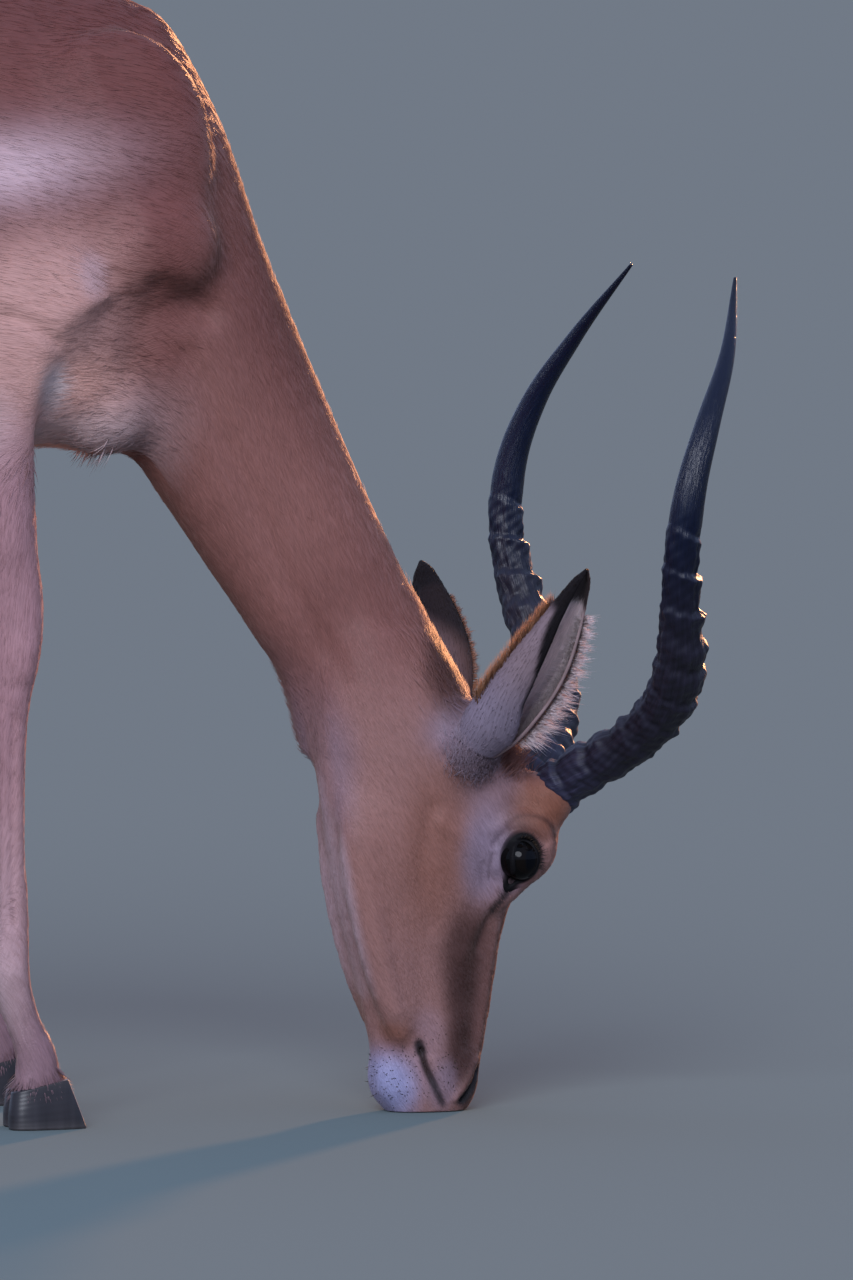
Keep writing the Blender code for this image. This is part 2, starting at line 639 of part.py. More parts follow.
# ------------------------------------------------------------------ the animal
def part_flesh(flesh):
    """Parts the fused flesh into trunk, neck, head and four legs, with a thin gap between them."""
    parts = {}
    front = copy_of(flesh, "front", "coat")
    kept_in(front, ahead())
    parts["head"] = copy_of(front, "head", "face")
    kept_in(parts["head"], headward())
    parts["neck"] = copy_of(front, "neck", "coat")
    cut_by(parts["neck"], headward(GAP))
    discard(front)
    trunk = copy_of(flesh, "trunk", "coat")
    cut_by(trunk, ahead(GAP))
    for word, side in SIDES:
        fore = copy_of(flesh, f"leg_front_{word}", "leg")
        kept_in(fore, fore_space(side))
        kept_in(fore, above_coronet(0.0))
        hind = copy_of(flesh, f"leg_rear_{word}", "leg")
        kept_in(hind, hind_space(side))
        kept_in(hind, above_coronet(hind_hoof_x(side)))
        cut_by(trunk, fore_space(side, GAP))
        cut_by(trunk, hind_space(side, GAP))
        parts[fore.name] = fore
        parts[hind.name] = hind
    parts["trunk"] = trunk
    for part in parts.values():
        keep_largest(part)
    return parts


def hind_hoof_x(side):
    """Where a hind hoof stands: the right one ahead of its station, the left one behind it."""
    return HIND_HOOF_X - side * HIND_STAGGER


def finish_all():
    """Centres the animal over the origin, and shades each piece smooth but for its creases."""
    solids = [obj for obj in bpy.data.objects if obj.type == "MESH"]
    corners = np.array([v.co for obj in solids for v in obj.data.vertices])
    low, high = corners.min(0), corners.max(0)
    middle = Vector(((low[0] + high[0]) / 2, (low[1] + high[1]) / 2, low[2]))
    for obj in solids:
        obj.data.transform(Matrix.Translation(-middle))
        obj.data.shade_smooth()
        obj.data.set_sharp_from_angle(angle=math.radians(40))


def main():
    for obj in list(bpy.data.objects):
        bpy.data.objects.remove(obj)
    flesh = fused_flesh()
    kept_in(flesh, prism(((-1.5, 0.0), (1.5, 0.0), (1.5, 1.5), (-1.5, 1.5)), -1.0, 1.0))
    parts = part_flesh(flesh)
    discard(flesh)

    tail = object_from("tail", mesh_from_grid(side_view_grid(TAIL, 12, 10)), "brush")
    cut_by(parts["trunk"], pit_from(side_view_grid(TAIL, 12, 10, grow=PIT_GAP)))
    keep_largest(parts["trunk"])

    for word, side in SIDES:
        build_horn(side, f"horn_{word}")
        build_ear(side, f"ear_{word}")
        build_eye(side, f"eye_{word}")
        cut_by(parts["head"], horn_pit(side))
        cut_by(parts["head"], ear_pit(side))
        cut_by(parts["head"], eye_socket(side))
        for part, hoof_x, track in (("front", 0.0, FORE_TRACK), ("rear", hind_hoof_x(side), HIND_TRACK)):
            build_claw(f"hoof_{part}_{word}_outer", hoof_x, side * track, side)
            build_claw(f"hoof_{part}_{word}_inner", hoof_x, side * track, -side)
    keep_largest(parts["head"])
    finish_all()


main()
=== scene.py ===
# %% [markdown]
# # A grazing impala ram, life size
# The animal is a still museum model: one skin over the whole body, a short coat of solid tufts,
# and separate horns, hooves, eyes, lids and ears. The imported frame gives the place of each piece.
# The skin is built from the same kind of shapes as the solids it covers, only finer: rings hung
# between the top line and the bottom line of the side view, fused and then carved.

import math

import bmesh
import bpy
import numpy as np
from mathutils import Matrix, Vector
from mathutils.bvhtree import BVHTree


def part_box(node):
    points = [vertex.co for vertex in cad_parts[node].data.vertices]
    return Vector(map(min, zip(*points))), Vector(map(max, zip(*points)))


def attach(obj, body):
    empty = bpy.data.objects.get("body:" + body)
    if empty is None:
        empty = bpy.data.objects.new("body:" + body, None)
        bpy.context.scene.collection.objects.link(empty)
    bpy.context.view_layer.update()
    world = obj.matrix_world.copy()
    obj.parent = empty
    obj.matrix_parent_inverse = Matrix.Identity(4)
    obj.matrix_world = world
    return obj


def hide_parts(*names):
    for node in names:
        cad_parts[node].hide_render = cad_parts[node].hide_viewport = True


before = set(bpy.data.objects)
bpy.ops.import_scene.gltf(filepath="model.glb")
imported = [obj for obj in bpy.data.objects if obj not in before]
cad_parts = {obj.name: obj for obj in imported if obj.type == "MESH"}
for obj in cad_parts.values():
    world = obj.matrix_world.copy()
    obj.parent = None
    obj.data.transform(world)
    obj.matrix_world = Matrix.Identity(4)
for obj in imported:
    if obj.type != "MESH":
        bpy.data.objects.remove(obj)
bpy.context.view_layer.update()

# %% [markdown]
# ## Where the body stands
# All shapes below are written in body coordinates: X is 0 over the fore hooves, Y is 0 on the
# middle plane and Z is 0 on the floor. The toe of the right fore hoof and the two outer fore
# hooves show how far the frame has shifted these. The head has a frame of its own, because it
# looks a little to the animal's left.

# %% Body and head coordinates
TOE = 0.034  # how far a fore hoof reaches ahead of X = 0
near_low, near_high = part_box("hoof_front_right_outer")
far_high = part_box("hoof_front_left_outer")[1]
SHIFT = np.array([near_high[0] - TOE, (near_low[1] + far_high[1]) / 2, 0.0])
EYE_LEVEL = np.array([0.364, -0.01, 0.186])
HEAD_TURN = math.radians(9.0)
cosine, sine = math.cos(HEAD_TURN), math.sin(HEAD_TURN)
TURN = np.array([[cosine, -sine, 0.0], [sine, cosine, 0.0], [0.0, 0.0, 1.0]])
SIDES = (("right", -1), ("left", 1))


def to_body(points):
    """Head frame (forward, left, up from eye level) to body coordinates."""
    return np.asarray(points, float) @ TURN.T + EYE_LEVEL


def to_head(points):
    """Body coordinates to the head frame."""
    return (np.asarray(points, float) - EYE_LEVEL) @ TURN


def folded(points):
    """The head frame with the right side folded onto the left."""
    head_points = to_head(points)
    head_points[:, 1] = np.abs(head_points[:, 1])
    return head_points


def mirrored(point, side):
    """The same place on the left (side 1) or the right (side -1)."""
    return np.array([point[0], side * point[1], point[2]])


print("shift", SHIFT.round(4))

# %% [markdown]
# ## Camera, light and floor
# A low, distant camera looks at the right side from slightly behind. A broad cool light fills the
# near side like an evening sky, and a low warm sun behind the animal draws a bright edge along
# the crest, the horns and the ears. The floor runs out past the top of the view.

# %% Camera
scene = bpy.context.scene
scene.view_settings.view_transform = "Standard"
CAMERA_AZIMUTH = math.radians(-11.0)
CAMERA_ELEVATION = math.radians(4.2)
CAMERA_DISTANCE = 12.0
CAMERA_AIM = np.array([0.3055, 0.0, 0.345]) + SHIFT
FRAME_HEIGHT = 0.9411765  # metres that the view's long side spans at the animal
SENSOR = 36.0


def placed(name, data):
    """A new object of the scene, from a mesh, a light or a camera."""
    obj = bpy.data.objects.new(name, data)
    scene.collection.objects.link(obj)
    return obj


camera_data = bpy.data.cameras.new("Camera")
camera_data.sensor_width = SENSOR
camera_data.lens = SENSOR * CAMERA_DISTANCE / FRAME_HEIGHT
level = math.cos(CAMERA_ELEVATION)
towards = Vector(
    (math.sin(CAMERA_AZIMUTH) * level, -math.cos(CAMERA_AZIMUTH) * level, math.sin(CAMERA_ELEVATION))
)
camera = placed("Camera", camera_data)
camera.location = Vector(CAMERA_AIM) + towards * CAMERA_DISTANCE
camera.rotation_euler = towards.to_track_quat("Z", "Y").to_euler()
scene.camera = camera
print("camera", CAMERA_DISTANCE, "m away, lens", round(camera_data.lens), "mm")

# %% Light
WORLD_COLOUR, WORLD_STRENGTH = (0.55, 0.69, 1.08, 1.0), 0.96
# Name, direction that it comes from, width of its disc in degrees, strength, colour.
SUNS = (
    ("warm_edge", (0.53, 0.81, 0.22), 4.0, 5.2, (1.0, 0.42, 0.17)),
    ("cool_fill", (-0.3, -0.8, 0.5), 30.0, 2.8, (0.84, 0.88, 1.0)),
)
for name, direction, disc, strength, colour in SUNS:
    sun_data = bpy.data.lights.new(name, "SUN")
    sun_data.angle = math.radians(disc)
    sun_data.energy = strength
    sun_data.color = colour
    placed(name, sun_data).rotation_euler = Vector(direction).to_track_quat("Z", "Y").to_euler()

world = bpy.data.worlds.new("Studio")
world.use_nodes = True
sky = world.node_tree.nodes["Background"]
sky.inputs["Color"].default_value = WORLD_COLOUR
sky.inputs["Strength"].default_value = WORLD_STRENGTH
scene.world = world
print("light", [name for name, *_ in SUNS], "and a sky")


# %% Floor
def new_material(name, values):
    """A Principled material with plain values, with its node tree and its shader."""
    made = bpy.data.materials.new(name)
    made.use_nodes = True
    shader = made.node_tree.nodes["Principled BSDF"]
    for label, value in values.items():
        shader.inputs[label].default_value = value
    return made, made.node_tree, shader


FLOOR_REACH = 70.0
FLOOR_FINISH = {"Base Color": (0.13, 0.16, 0.155, 1.0), "Roughness": 1.0, "Specular IOR Level": 0.0}
corners = [(FLOOR_REACH * x, FLOOR_REACH * y, 0) for x, y in ((-1, -1), (1, -1), (1, 1), (-1, 1))]
floor_mesh = bpy.data.meshes.new("floor")
floor_mesh.from_pydata(corners, [], [(0, 1, 2, 3)])
floor_mesh.materials.append(new_material("studio_floor", FLOOR_FINISH)[0])
placed("floor", floor_mesh)
print("floor", 2 * FLOOR_REACH, "m across")

# %% [markdown]
# ## Rings and shells
# Nearly every part of the body is a loft: a smooth curve carries a row of numbers from station to
# station, and each row makes one ring. A ring is its centre + up * sine + side * cosine, where
# "egg" makes it wider at one end. A shell is a stack of rings closed at both ends.

# %% Loft helpers
def rises(x, low, high):
    """0 below low, 1 above high, 3t^2 - 2t^3 between them."""
    t = np.clip((x - low) / (high - low), 0.0, 1.0)
    return t * t * (3 - 2 * t)


def falls(x, low, high):
    """1 below low, 0 above high, smooth between them."""
    return rises(-x, -high, -low)


def full_turn(count):
    """Angles of a full circle, in radians."""
    return np.linspace(0.0, 2 * math.pi, count, endpoint=False)


def through(rows, count):
    """A smooth cubic through every row (Hermite: value and slope at each station)."""
    rows = np.asarray(rows, float)
    steps = np.maximum(np.linalg.norm(np.diff(rows[:, :3], axis=0), axis=1), 1e-6)
    at = np.concatenate([[0.0], np.cumsum(steps)])
    slope = np.gradient(rows, at, axis=0)
    want = np.linspace(0.0, at[-1], count)
    i = np.clip(np.searchsorted(at, want, side="right") - 1, 0, len(at) - 2)
    span = (at[i + 1] - at[i])[:, None]
    t = ((want - at[i]) / span[:, 0])[:, None]
    stay = (1 + 2 * t) * (1 - t) ** 2
    return (
        stay * rows[i]
        + t * (1 - t) ** 2 * span * slope[i]
        + (1 - stay) * rows[i + 1]
        - (1 - t) * t**2 * span * slope[i + 1]
    )


def ring_grid(centres, ups, sides, egg, around, squareness=0.9):
    """Rings: centre + up * sin + side * cos * (1 + egg * sin), slightly squared."""
    angle = full_turn(around)
    across = np.sign(np.cos(angle)) * np.abs(np.cos(angle)) ** squareness
    along = np.sign(np.sin(angle)) * np.abs(np.sin(angle)) ** squareness
    width = across * (1 + np.asarray(egg)[:, None] * along)
    return centres[:, None] + ups[:, None] * along[None, :, None] + sides[:, None] * width[:, :, None]


def hung_grid(upper_x, upper_z, lower_x, lower_z, width, egg, around, middle=0.0):
    """Rings that hang between the upper and lower points of the side view."""
    zero = np.zeros(len(width))
    centres = np.stack([(upper_x + lower_x) / 2, zero + middle, (upper_z + lower_z) / 2], 1)
    ups = np.stack([(upper_x - lower_x) / 2, zero, (upper_z - lower_z) / 2], 1)
    return ring_grid(centres, ups, np.stack([zero, width, zero], 1), egg, around)


def side_view_grid(stations, count, around, middle=0.0):
    """Rings through stations of the body, a leg or the tail."""
    return hung_grid(*through([row[1:] for row in stations], count).T, around, middle)


def head_grid(stations, count, around):
    """Level rings from the nape down to the lips, in the head frame."""
    height, brow, jaw, width, egg = through([row[1:] for row in stations], count).T
    return hung_grid(brow, height, jaw, height, width, egg, around)


def ellipsoid_grid(centre, radii, lean=0.0, rings=16, around=24):
    """A ball stretched to three radii and leaned forward: rings of sin(latitude)."""
    latitude = np.linspace(0.02, math.pi - 0.02, rings)[:, None]
    angle = full_turn(around)
    ball = np.stack(
        [np.sin(latitude) * np.cos(angle), np.sin(latitude) * np.sin(angle), np.cos(latitude) + 0 * angle],
        -1,
    ) * np.array(radii)
    c, s = math.cos(math.radians(lean)), math.sin(math.radians(lean))
    leaned = np.array([[c, 0.0, s], [0.0, 1.0, 0.0], [-s, 0.0, c]])
    return ball @ leaned.T + np.array(centre)


def grid_faces(rings, around):
    """The quads between neighbouring rings, as rows of four point numbers."""
    i = np.arange(rings - 1)[:, None]
    j = np.arange(around)[None]
    k = (j + 1) % around
    quads = np.stack([i * around + j, i * around + k, (i + 1) * around + k, (i + 1) * around + j], -1)
    return quads.reshape(-1, 4)


def shell(grid):
    """Points, quads and cap triangles of a closed loft."""
    rings, around = grid.shape[:2]
    points = np.concatenate([grid.reshape(-1, 3), grid[:1].mean(1), grid[-1:].mean(1)])
    j = np.arange(around)
    k = (j + 1) % around
    last = (rings - 1) * around
    first_cap = np.stack([k, j, np.full(around, rings * around)], 1)
    last_cap = np.stack([last + j, last + k, np.full(around, rings * around + 1)], 1)
    return points, grid_faces(rings, around), np.concatenate([first_cap, last_cap])


# %% Mesh helpers
# The values that a mesh carries at its points: kind of attribute, and the key of its values.
POINT_VALUES = {
    "coat_colour": ("FLOAT_COLOR", "color"),
    "grain": ("FLOAT_VECTOR", "vector"),
    "gloss": ("FLOAT", "value"),
}


def mesh_of(name, points, *face_sets):
    """A mesh straight from arrays of points and of faces with 3 or 4 corners."""
    mesh = bpy.data.meshes.new(name)
    mesh.vertices.add(len(points))
    mesh.vertices.foreach_set("co", np.asarray(points, np.float32).ravel())
    corners = np.concatenate([f.ravel() for f in face_sets]).astype(np.int32)
    sizes = np.concatenate([np.full(len(f), f.shape[1]) for f in face_sets])
    mesh.loops.add(len(corners))
    mesh.loops.foreach_set("vertex_index", corners)
    mesh.polygons.add(len(sizes))
    starts = np.concatenate([[0], np.cumsum(sizes)[:-1]]).astype(np.int32)
    mesh.polygons.foreach_set("loop_start", starts)
    mesh.update(calc_edges=True)
    return mesh


def reworked(mesh, work):
    """Runs one operation of bmesh on a mesh."""
    made = bmesh.new()
    made.from_mesh(mesh)
    work(made)
    made.to_mesh(mesh)
    made.free()


def closed_mesh(name, points, *face_sets):
    """A mesh whose faces all look outwards."""
    mesh = mesh_of(name, points, *face_sets)
    reworked(mesh, lambda made: bmesh.ops.recalc_face_normals(made, faces=made.faces))
    return mesh


def numbers(collection, key, width):
    """One property of all mesh elements as an array of rows."""
    out = np.empty(len(collection) * width, np.float32)
    collection.foreach_get(key, out)
    return out.reshape(-1, width).astype(float)


def move_points(mesh, points):
    """Sets all points of a mesh."""
    mesh.vertices.foreach_set("co", points.astype(np.float32).ravel())
    mesh.update()


def applied(obj):
    """The object's mesh with its modifiers applied. The object itself goes."""
    bpy.context.view_layer.update()
    graph = bpy.context.evaluated_depsgraph_get()
    made = bpy.data.meshes.new_from_object(obj.evaluated_get(graph))
    bpy.data.objects.remove(obj)
    return made


def modify(obj, kind, **settings):
    """Adds a modifier with its settings."""
    modifier = obj.modifiers.new(kind.title(), kind)
    for key, value in settings.items():
        setattr(modifier, key, value)


def add_piece(mesh, material, slot, nodes=(), **values):
    for label, rows in values.items():
        kind, key = POINT_VALUES[label]
        if kind == "FLOAT_COLOR":
            rows = np.concatenate([rows, np.ones((len(rows), 1))], 1)
        mesh.attributes.new(label, kind, "POINT").data.foreach_set(key, rows.astype(np.float32).ravel())
    mesh.transform(Matrix.Translation(SHIFT))
    mesh.materials.append(material)
    mesh.shade_smooth()
    obj = placed(mesh.name, mesh)
    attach(obj, "root")
    if nodes:
        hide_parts(*nodes)
    print("piece", mesh.name, len(mesh.polygons), "faces")

# %% [markdown]
# ## The flesh
# The trunk, neck, head and legs are seven lofts with muscles and bones added as stretched balls.
# A voxel remesh melts them into one closed skin, as flesh runs on under real skin, and smoothing
# rounds the joins. One round of subdivision then gives a mesh fine enough to carve.

# %% Stations of the body
# Place, upper or front x and z, lower or back x and z, half-width, egg.
TRUNK = (
    ("buttock", -0.7, 0.76, -0.708, 0.67, 0.05, 0.0),
    ("tail root", -0.672, 0.808, -0.692, 0.61, 0.088, -0.05),
    ("rump", -0.62, 0.841, -0.642, 0.574, 0.118, -0.1),
    ("croup", -0.54, 0.854, -0.56, 0.55, 0.128, -0.15),
    ("loin", -0.43, 0.844, -0.445, 0.524, 0.124, -0.18),
    ("belly", -0.3, 0.83, -0.305, 0.492, 0.134, -0.2),
    ("last rib", -0.19, 0.823, -0.18, 0.47, 0.135, -0.24),
    ("girth", -0.08, 0.827, -0.06, 0.473, 0.118, -0.3),
    ("withers", 0.02, 0.834, 0.02, 0.49, 0.096, -0.34),
    ("chest front", 0.083, 0.821, 0.062, 0.486, 0.078, -0.25),
    ("breast", 0.108, 0.766, 0.086, 0.518, 0.056, -0.1),
)
NECK = (
    ("in the chest", 0.02, 0.818, -0.02, 0.518, 0.06, -0.2),
    ("front of withers", 0.103, 0.814, 0.04, 0.492, 0.07, -0.25),
    ("base of neck", 0.146, 0.749, 0.078, 0.484, 0.07, -0.18),
    ("lower neck", 0.187, 0.634, 0.106, 0.449, 0.064, -0.12),
    ("mid neck", 0.2295, 0.532, 0.136, 0.404, 0.056, -0.08),
    ("upper neck", 0.279, 0.421, 0.173, 0.349, 0.05, -0.05),
    ("behind the jaw", 0.321, 0.338, 0.199, 0.303, 0.047, 0.0),
    ("throat", 0.342, 0.3, 0.212, 0.256, 0.045, 0.0),
)
# The head's stations are in its own frame: height above eye level, forehead line, jaw line,
# half-width, egg.
HEAD = (
    ("in the neck", 0.172, -0.064, -0.14, 0.028, 0.0),
    ("nape", 0.14, -0.043, -0.15, 0.038, 0.0),
    ("poll", 0.112, -0.028, -0.152, 0.042, 0.05),
    ("behind the horns", 0.085, -0.004, -0.151, 0.0445, 0.08),
    ("horn base", 0.05, 0.018, -0.148, 0.045, 0.05),
    ("brow", 0.022, 0.024, -0.143, 0.044, 0.0),
    ("eye", 0.0, 0.016, -0.139, 0.043, -0.04),
    ("stop", -0.03, 0.004, -0.1335, 0.039, -0.1),
    ("cheek end", -0.06, -0.0044, -0.126, 0.033, -0.16),
    ("nose bridge", -0.1, -0.0108, -0.116, 0.028, -0.12),
    ("nostrils", -0.148, -0.0203, -0.1055, 0.027, 0.0),
    ("lips", -0.174, -0.0255, -0.1, 0.026, 0.05),
    ("lip edge", -0.198, -0.039, -0.0905, 0.019, 0.0),
)
FORE_LEG = (
    ("upper arm", 0.06, 0.608, -0.09, 0.578, 0.03, 0.0),
    ("elbow", 0.004, 0.523, -0.09, 0.523, 0.031, 0.05),
    ("forearm top", 0.0, 0.468, -0.072, 0.473, 0.03, 0.05),
    ("forearm", 0.002, 0.423, -0.055, 0.426, 0.026, 0.05),
    ("above the knee", 0.0065, 0.38, -0.041, 0.38, 0.0225, 0.0),
    ("knee", 0.004, 0.343, -0.0385, 0.341, 0.0232, 0.1),
    ("below the knee", -0.0035, 0.312, -0.037, 0.314, 0.02, 0.05),
    ("cannon top", -0.0058, 0.273, -0.0345, 0.273, 0.016, 0.0),
    ("cannon", -0.0055, 0.193, -0.033, 0.193, 0.0145, 0.0),
    ("cannon end", -0.003, 0.142, -0.0345, 0.14, 0.0158, 0.0),
    ("fetlock", -0.003, 0.116, -0.0375, 0.11, 0.0185, 0.0),
    ("pastern", 0.0055, 0.08, -0.0275, 0.074, 0.0165, 0.0),
    ("low pastern", 0.018, 0.056, -0.0195, 0.05, 0.0168, 0.0),
    ("coronet", 0.0205, 0.038, -0.0225, 0.029, 0.019, 0.0),
    ("in the hoof", 0.0245, 0.02, -0.022, 0.012, 0.018, 0.0),
)
HIND_LEG = (
    ("hip", -0.48, 0.788, -0.66, 0.793, 0.042, 0.0),
    ("thigh top", -0.448, 0.708, -0.7, 0.718, 0.05, 0.0),
    ("thigh", -0.448, 0.623, -0.708, 0.65, 0.051, 0.05),
    ("thigh end", -0.458, 0.553, -0.69, 0.586, 0.046, 0.1),
    ("stifle", -0.484, 0.503, -0.664, 0.53, 0.038, 0.15),
    ("gaskin top", -0.524, 0.46, -0.66, 0.484, 0.0305, 0.15),
    ("gaskin", -0.572, 0.42, -0.678, 0.45, 0.025, 0.1),
    ("above the hock", -0.615, 0.386, -0.706, 0.424, 0.0205, 0.1),
    ("hock", -0.643, 0.354, -0.726, 0.394, 0.0205, 0.15),
    ("hock end", -0.655, 0.322, -0.714, 0.336, 0.021, 0.1),
    ("cannon top", -0.657, 0.288, -0.697, 0.293, 0.0172, 0.0),
    ("cannon", -0.65, 0.208, -0.6835, 0.208, 0.0148, 0.0),
    ("cannon end", -0.643, 0.144, -0.6765, 0.144, 0.0158, 0.0),
    ("fetlock", -0.638, 0.116, -0.676, 0.112, 0.0185, 0.0),
    ("pastern", -0.62, 0.08, -0.652, 0.074, 0.0165, 0.0),
    ("low pastern", -0.6055, 0.056, -0.6415, 0.05, 0.0168, 0.0),
    ("coronet", -0.6035, 0.038, -0.6465, 0.029, 0.019, 0.0),
    ("in the hoof", -0.5995, 0.02, -0.646, 0.012, 0.018, 0.0),
)
HIND_HOOF_X = -0.624  # the hind hoof's station, where the fore hoof's is 0
TAIL = (
    ("root", -0.69, 0.793, -0.676, 0.763, 0.02, 0.0),
    ("bend", -0.722, 0.768, -0.7, 0.753, 0.019, 0.0),
    ("upper", -0.738, 0.723, -0.714, 0.72, 0.02, 0.0),
    ("middle", -0.744, 0.648, -0.718, 0.648, 0.022, 0.0),
    ("brush", -0.744, 0.578, -0.72, 0.578, 0.021, 0.0),
    ("lower brush", -0.741, 0.528, -0.724, 0.528, 0.014, 0.0),
    ("tip", -0.736, 0.496, -0.732, 0.496, 0.004, 0.0),
)
# Muscle and bone masses added on each side: centre, radii, lean forward in degrees.
BODY_MASSES = (
    ("shoulder blade", (0.052, 0.052, 0.686), (0.088, 0.036, 0.118), 14),
    ("point of shoulder", (0.088, 0.063, 0.64), (0.056, 0.036, 0.048), 0),
    ("triceps", (-0.03, 0.08, 0.598), (0.088, 0.04, 0.072), -18),
    ("breast muscle", (0.06, 0.032, 0.53), (0.048, 0.04, 0.046), 0),
    ("hip bone", (-0.51, 0.078, 0.774), (0.1, 0.04, 0.048), 10),
)
HEAD_MASSES = (
    ("eye ring", (0.002, 0.033, 0.0085), (0.0262, 0.0215, 0.03), 18),
    ("below the eye", (-0.0055, 0.029, -0.0152), (0.013, 0.013, 0.033), 40),
    ("horn root", (0.021, 0.029, 0.044), (0.0225, 0.0225, 0.0235), 0),
    ("jaw bone", (-0.112, 0.026, -0.04), (0.021, 0.014, 0.1), -12.8),
    ("cheek", (-0.088, 0.0265, 0.02), (0.046, 0.019, 0.058), 0),
    ("ear root", (-0.041, 0.04, 0.092), (0.027, 0.02, 0.028), 0),
    ("nostril wing", (-0.044, 0.015, -0.166), (0.017, 0.0125, 0.02), 0),
    ("chin", (-0.0905, 0.009, -0.16), (0.0185, 0.015, 0.025), 0),
)

FORE_TRACK = 0.09
HIND_TRACK = 0.085
HIND_STAGGER = 0.03
STAGGER_TOP, STAGGER_FOOT = 0.62, 0.1  # heights between which the hind leg swings

# %% Fuse the flesh
FUSE_VOXEL = 0.005
SMOOTHING_ROUNDS = 15


def hind_swing(height, side):
    """How far a hind leg is forward (right, side -1) or back (left) at a height."""
    return -side * HIND_STAGGER * falls(height, STAGGER_FOOT, STAGGER_TOP)


def flesh_grids():
    """Every loft and mass of the body, as grids that overlap."""
    grids = [side_view_grid(TRUNK, 90, 64), side_view_grid(NECK, 80, 56)]
    grids.append(to_body(head_grid(HEAD, 90, 56)))
    for _, side in SIDES:
        hind = side_view_grid(HIND_LEG, 120, 36, side * HIND_TRACK)
        hind[:, :, 0] += hind_swing(hind[:, :, 2], side)
        grids += [side_view_grid(FORE_LEG, 100, 32, side * FORE_TRACK), hind]
        grids += [ellipsoid_grid(mirrored(centre, side), *size) for _, centre, *size in BODY_MASSES]
        grids += [to_body(ellipsoid_grid(mirrored(centre, side), *size)) for _, centre, *size in HEAD_MASSES]
    return grids


def fused(grids):
    """One closed skin from overlapping shells: voxels, smoothing, one subdivision."""
    shells = [shell(grid) for grid in grids]
    starts = np.cumsum([0] + [len(points) for points, _, _ in shells])
    points, quads, tris = (
        np.concatenate([made[part] + (start if part else 0) for made, start in zip(shells, starts)])
        for part in range(3)
    )
    obj = placed("flesh", closed_mesh("flesh", points, quads, tris))
    modify(obj, "REMESH", mode="VOXEL", voxel_size=FUSE_VOXEL)
    modify(obj, "SMOOTH", factor=0.5, iterations=SMOOTHING_ROUNDS)
    modify(obj, "SUBSURF", levels=1, render_levels=1)
    return applied(obj)


flesh = fused(flesh_grids())
print("flesh", len(flesh.vertices), "points", len(flesh.polygons), "faces")

# %% [markdown]
# ## The eye's opening
# An antelope's eye is a large ball in the side of the head. The lids leave an almond open, which
# ends in a narrow tear corner on the nose side. The opening is given in polar form round the
# ball's centre: an ellipse with a spike where the tear corner is.

# %% Eye sizes
EYE_CENTRE = np.array([-0.0055, 0.04, 0.001])  # left eye, head frame
EYE_RADIUS = 0.0163
OPENING = (0.0096, 0.015)  # half-width across and half-length along the face
TEAR_ANGLE = math.radians(-112.0)
TEAR_REACH = 0.006
TEAR_SPREAD = 0.21


def from_tear(angle):
    """Signed angle from the tear corner."""
    return np.angle(np.exp(1j * (angle - TEAR_ANGLE)))


def opening_radius(angle):
    """Distance from the ball's centre to the lid's edge: an ellipse plus the tear corner."""
    ellipse = 1 / np.sqrt((np.cos(angle) / OPENING[0]) ** 2 + (np.sin(angle) / OPENING[1]) ** 2)
    return ellipse + TEAR_REACH * np.exp(-((from_tear(angle) / TEAR_SPREAD) ** 2))


def past_lid(head_points):
    """How far points of the head lie outside the lid's edge, in the side view."""
    across = head_points[:, 0] - EYE_CENTRE[0]
    along = head_points[:, 2] - EYE_CENTRE[2]
    return np.hypot(across, along) - opening_radius(np.arctan2(along, across))


def near_eye(head_points, reach, low=-1.0):
    """Whether folded points of the head lie within reach of the eye and further out than low."""
    return (np.linalg.norm(head_points - EYE_CENTRE, axis=1) < reach) & (head_points[:, 1] > low)


# %% [markdown]
# ## Carving
# Muscles, bones and folds are strokes: a line in the side view with a width and a height, above
# 0 for a ridge and below 0 for a groove. The skin moves along its normal by
# height * exp(-(distance / width)^2). The head gets the most strokes. Nostrils and lips are
# strokes in space, because they run round the front of the muzzle.

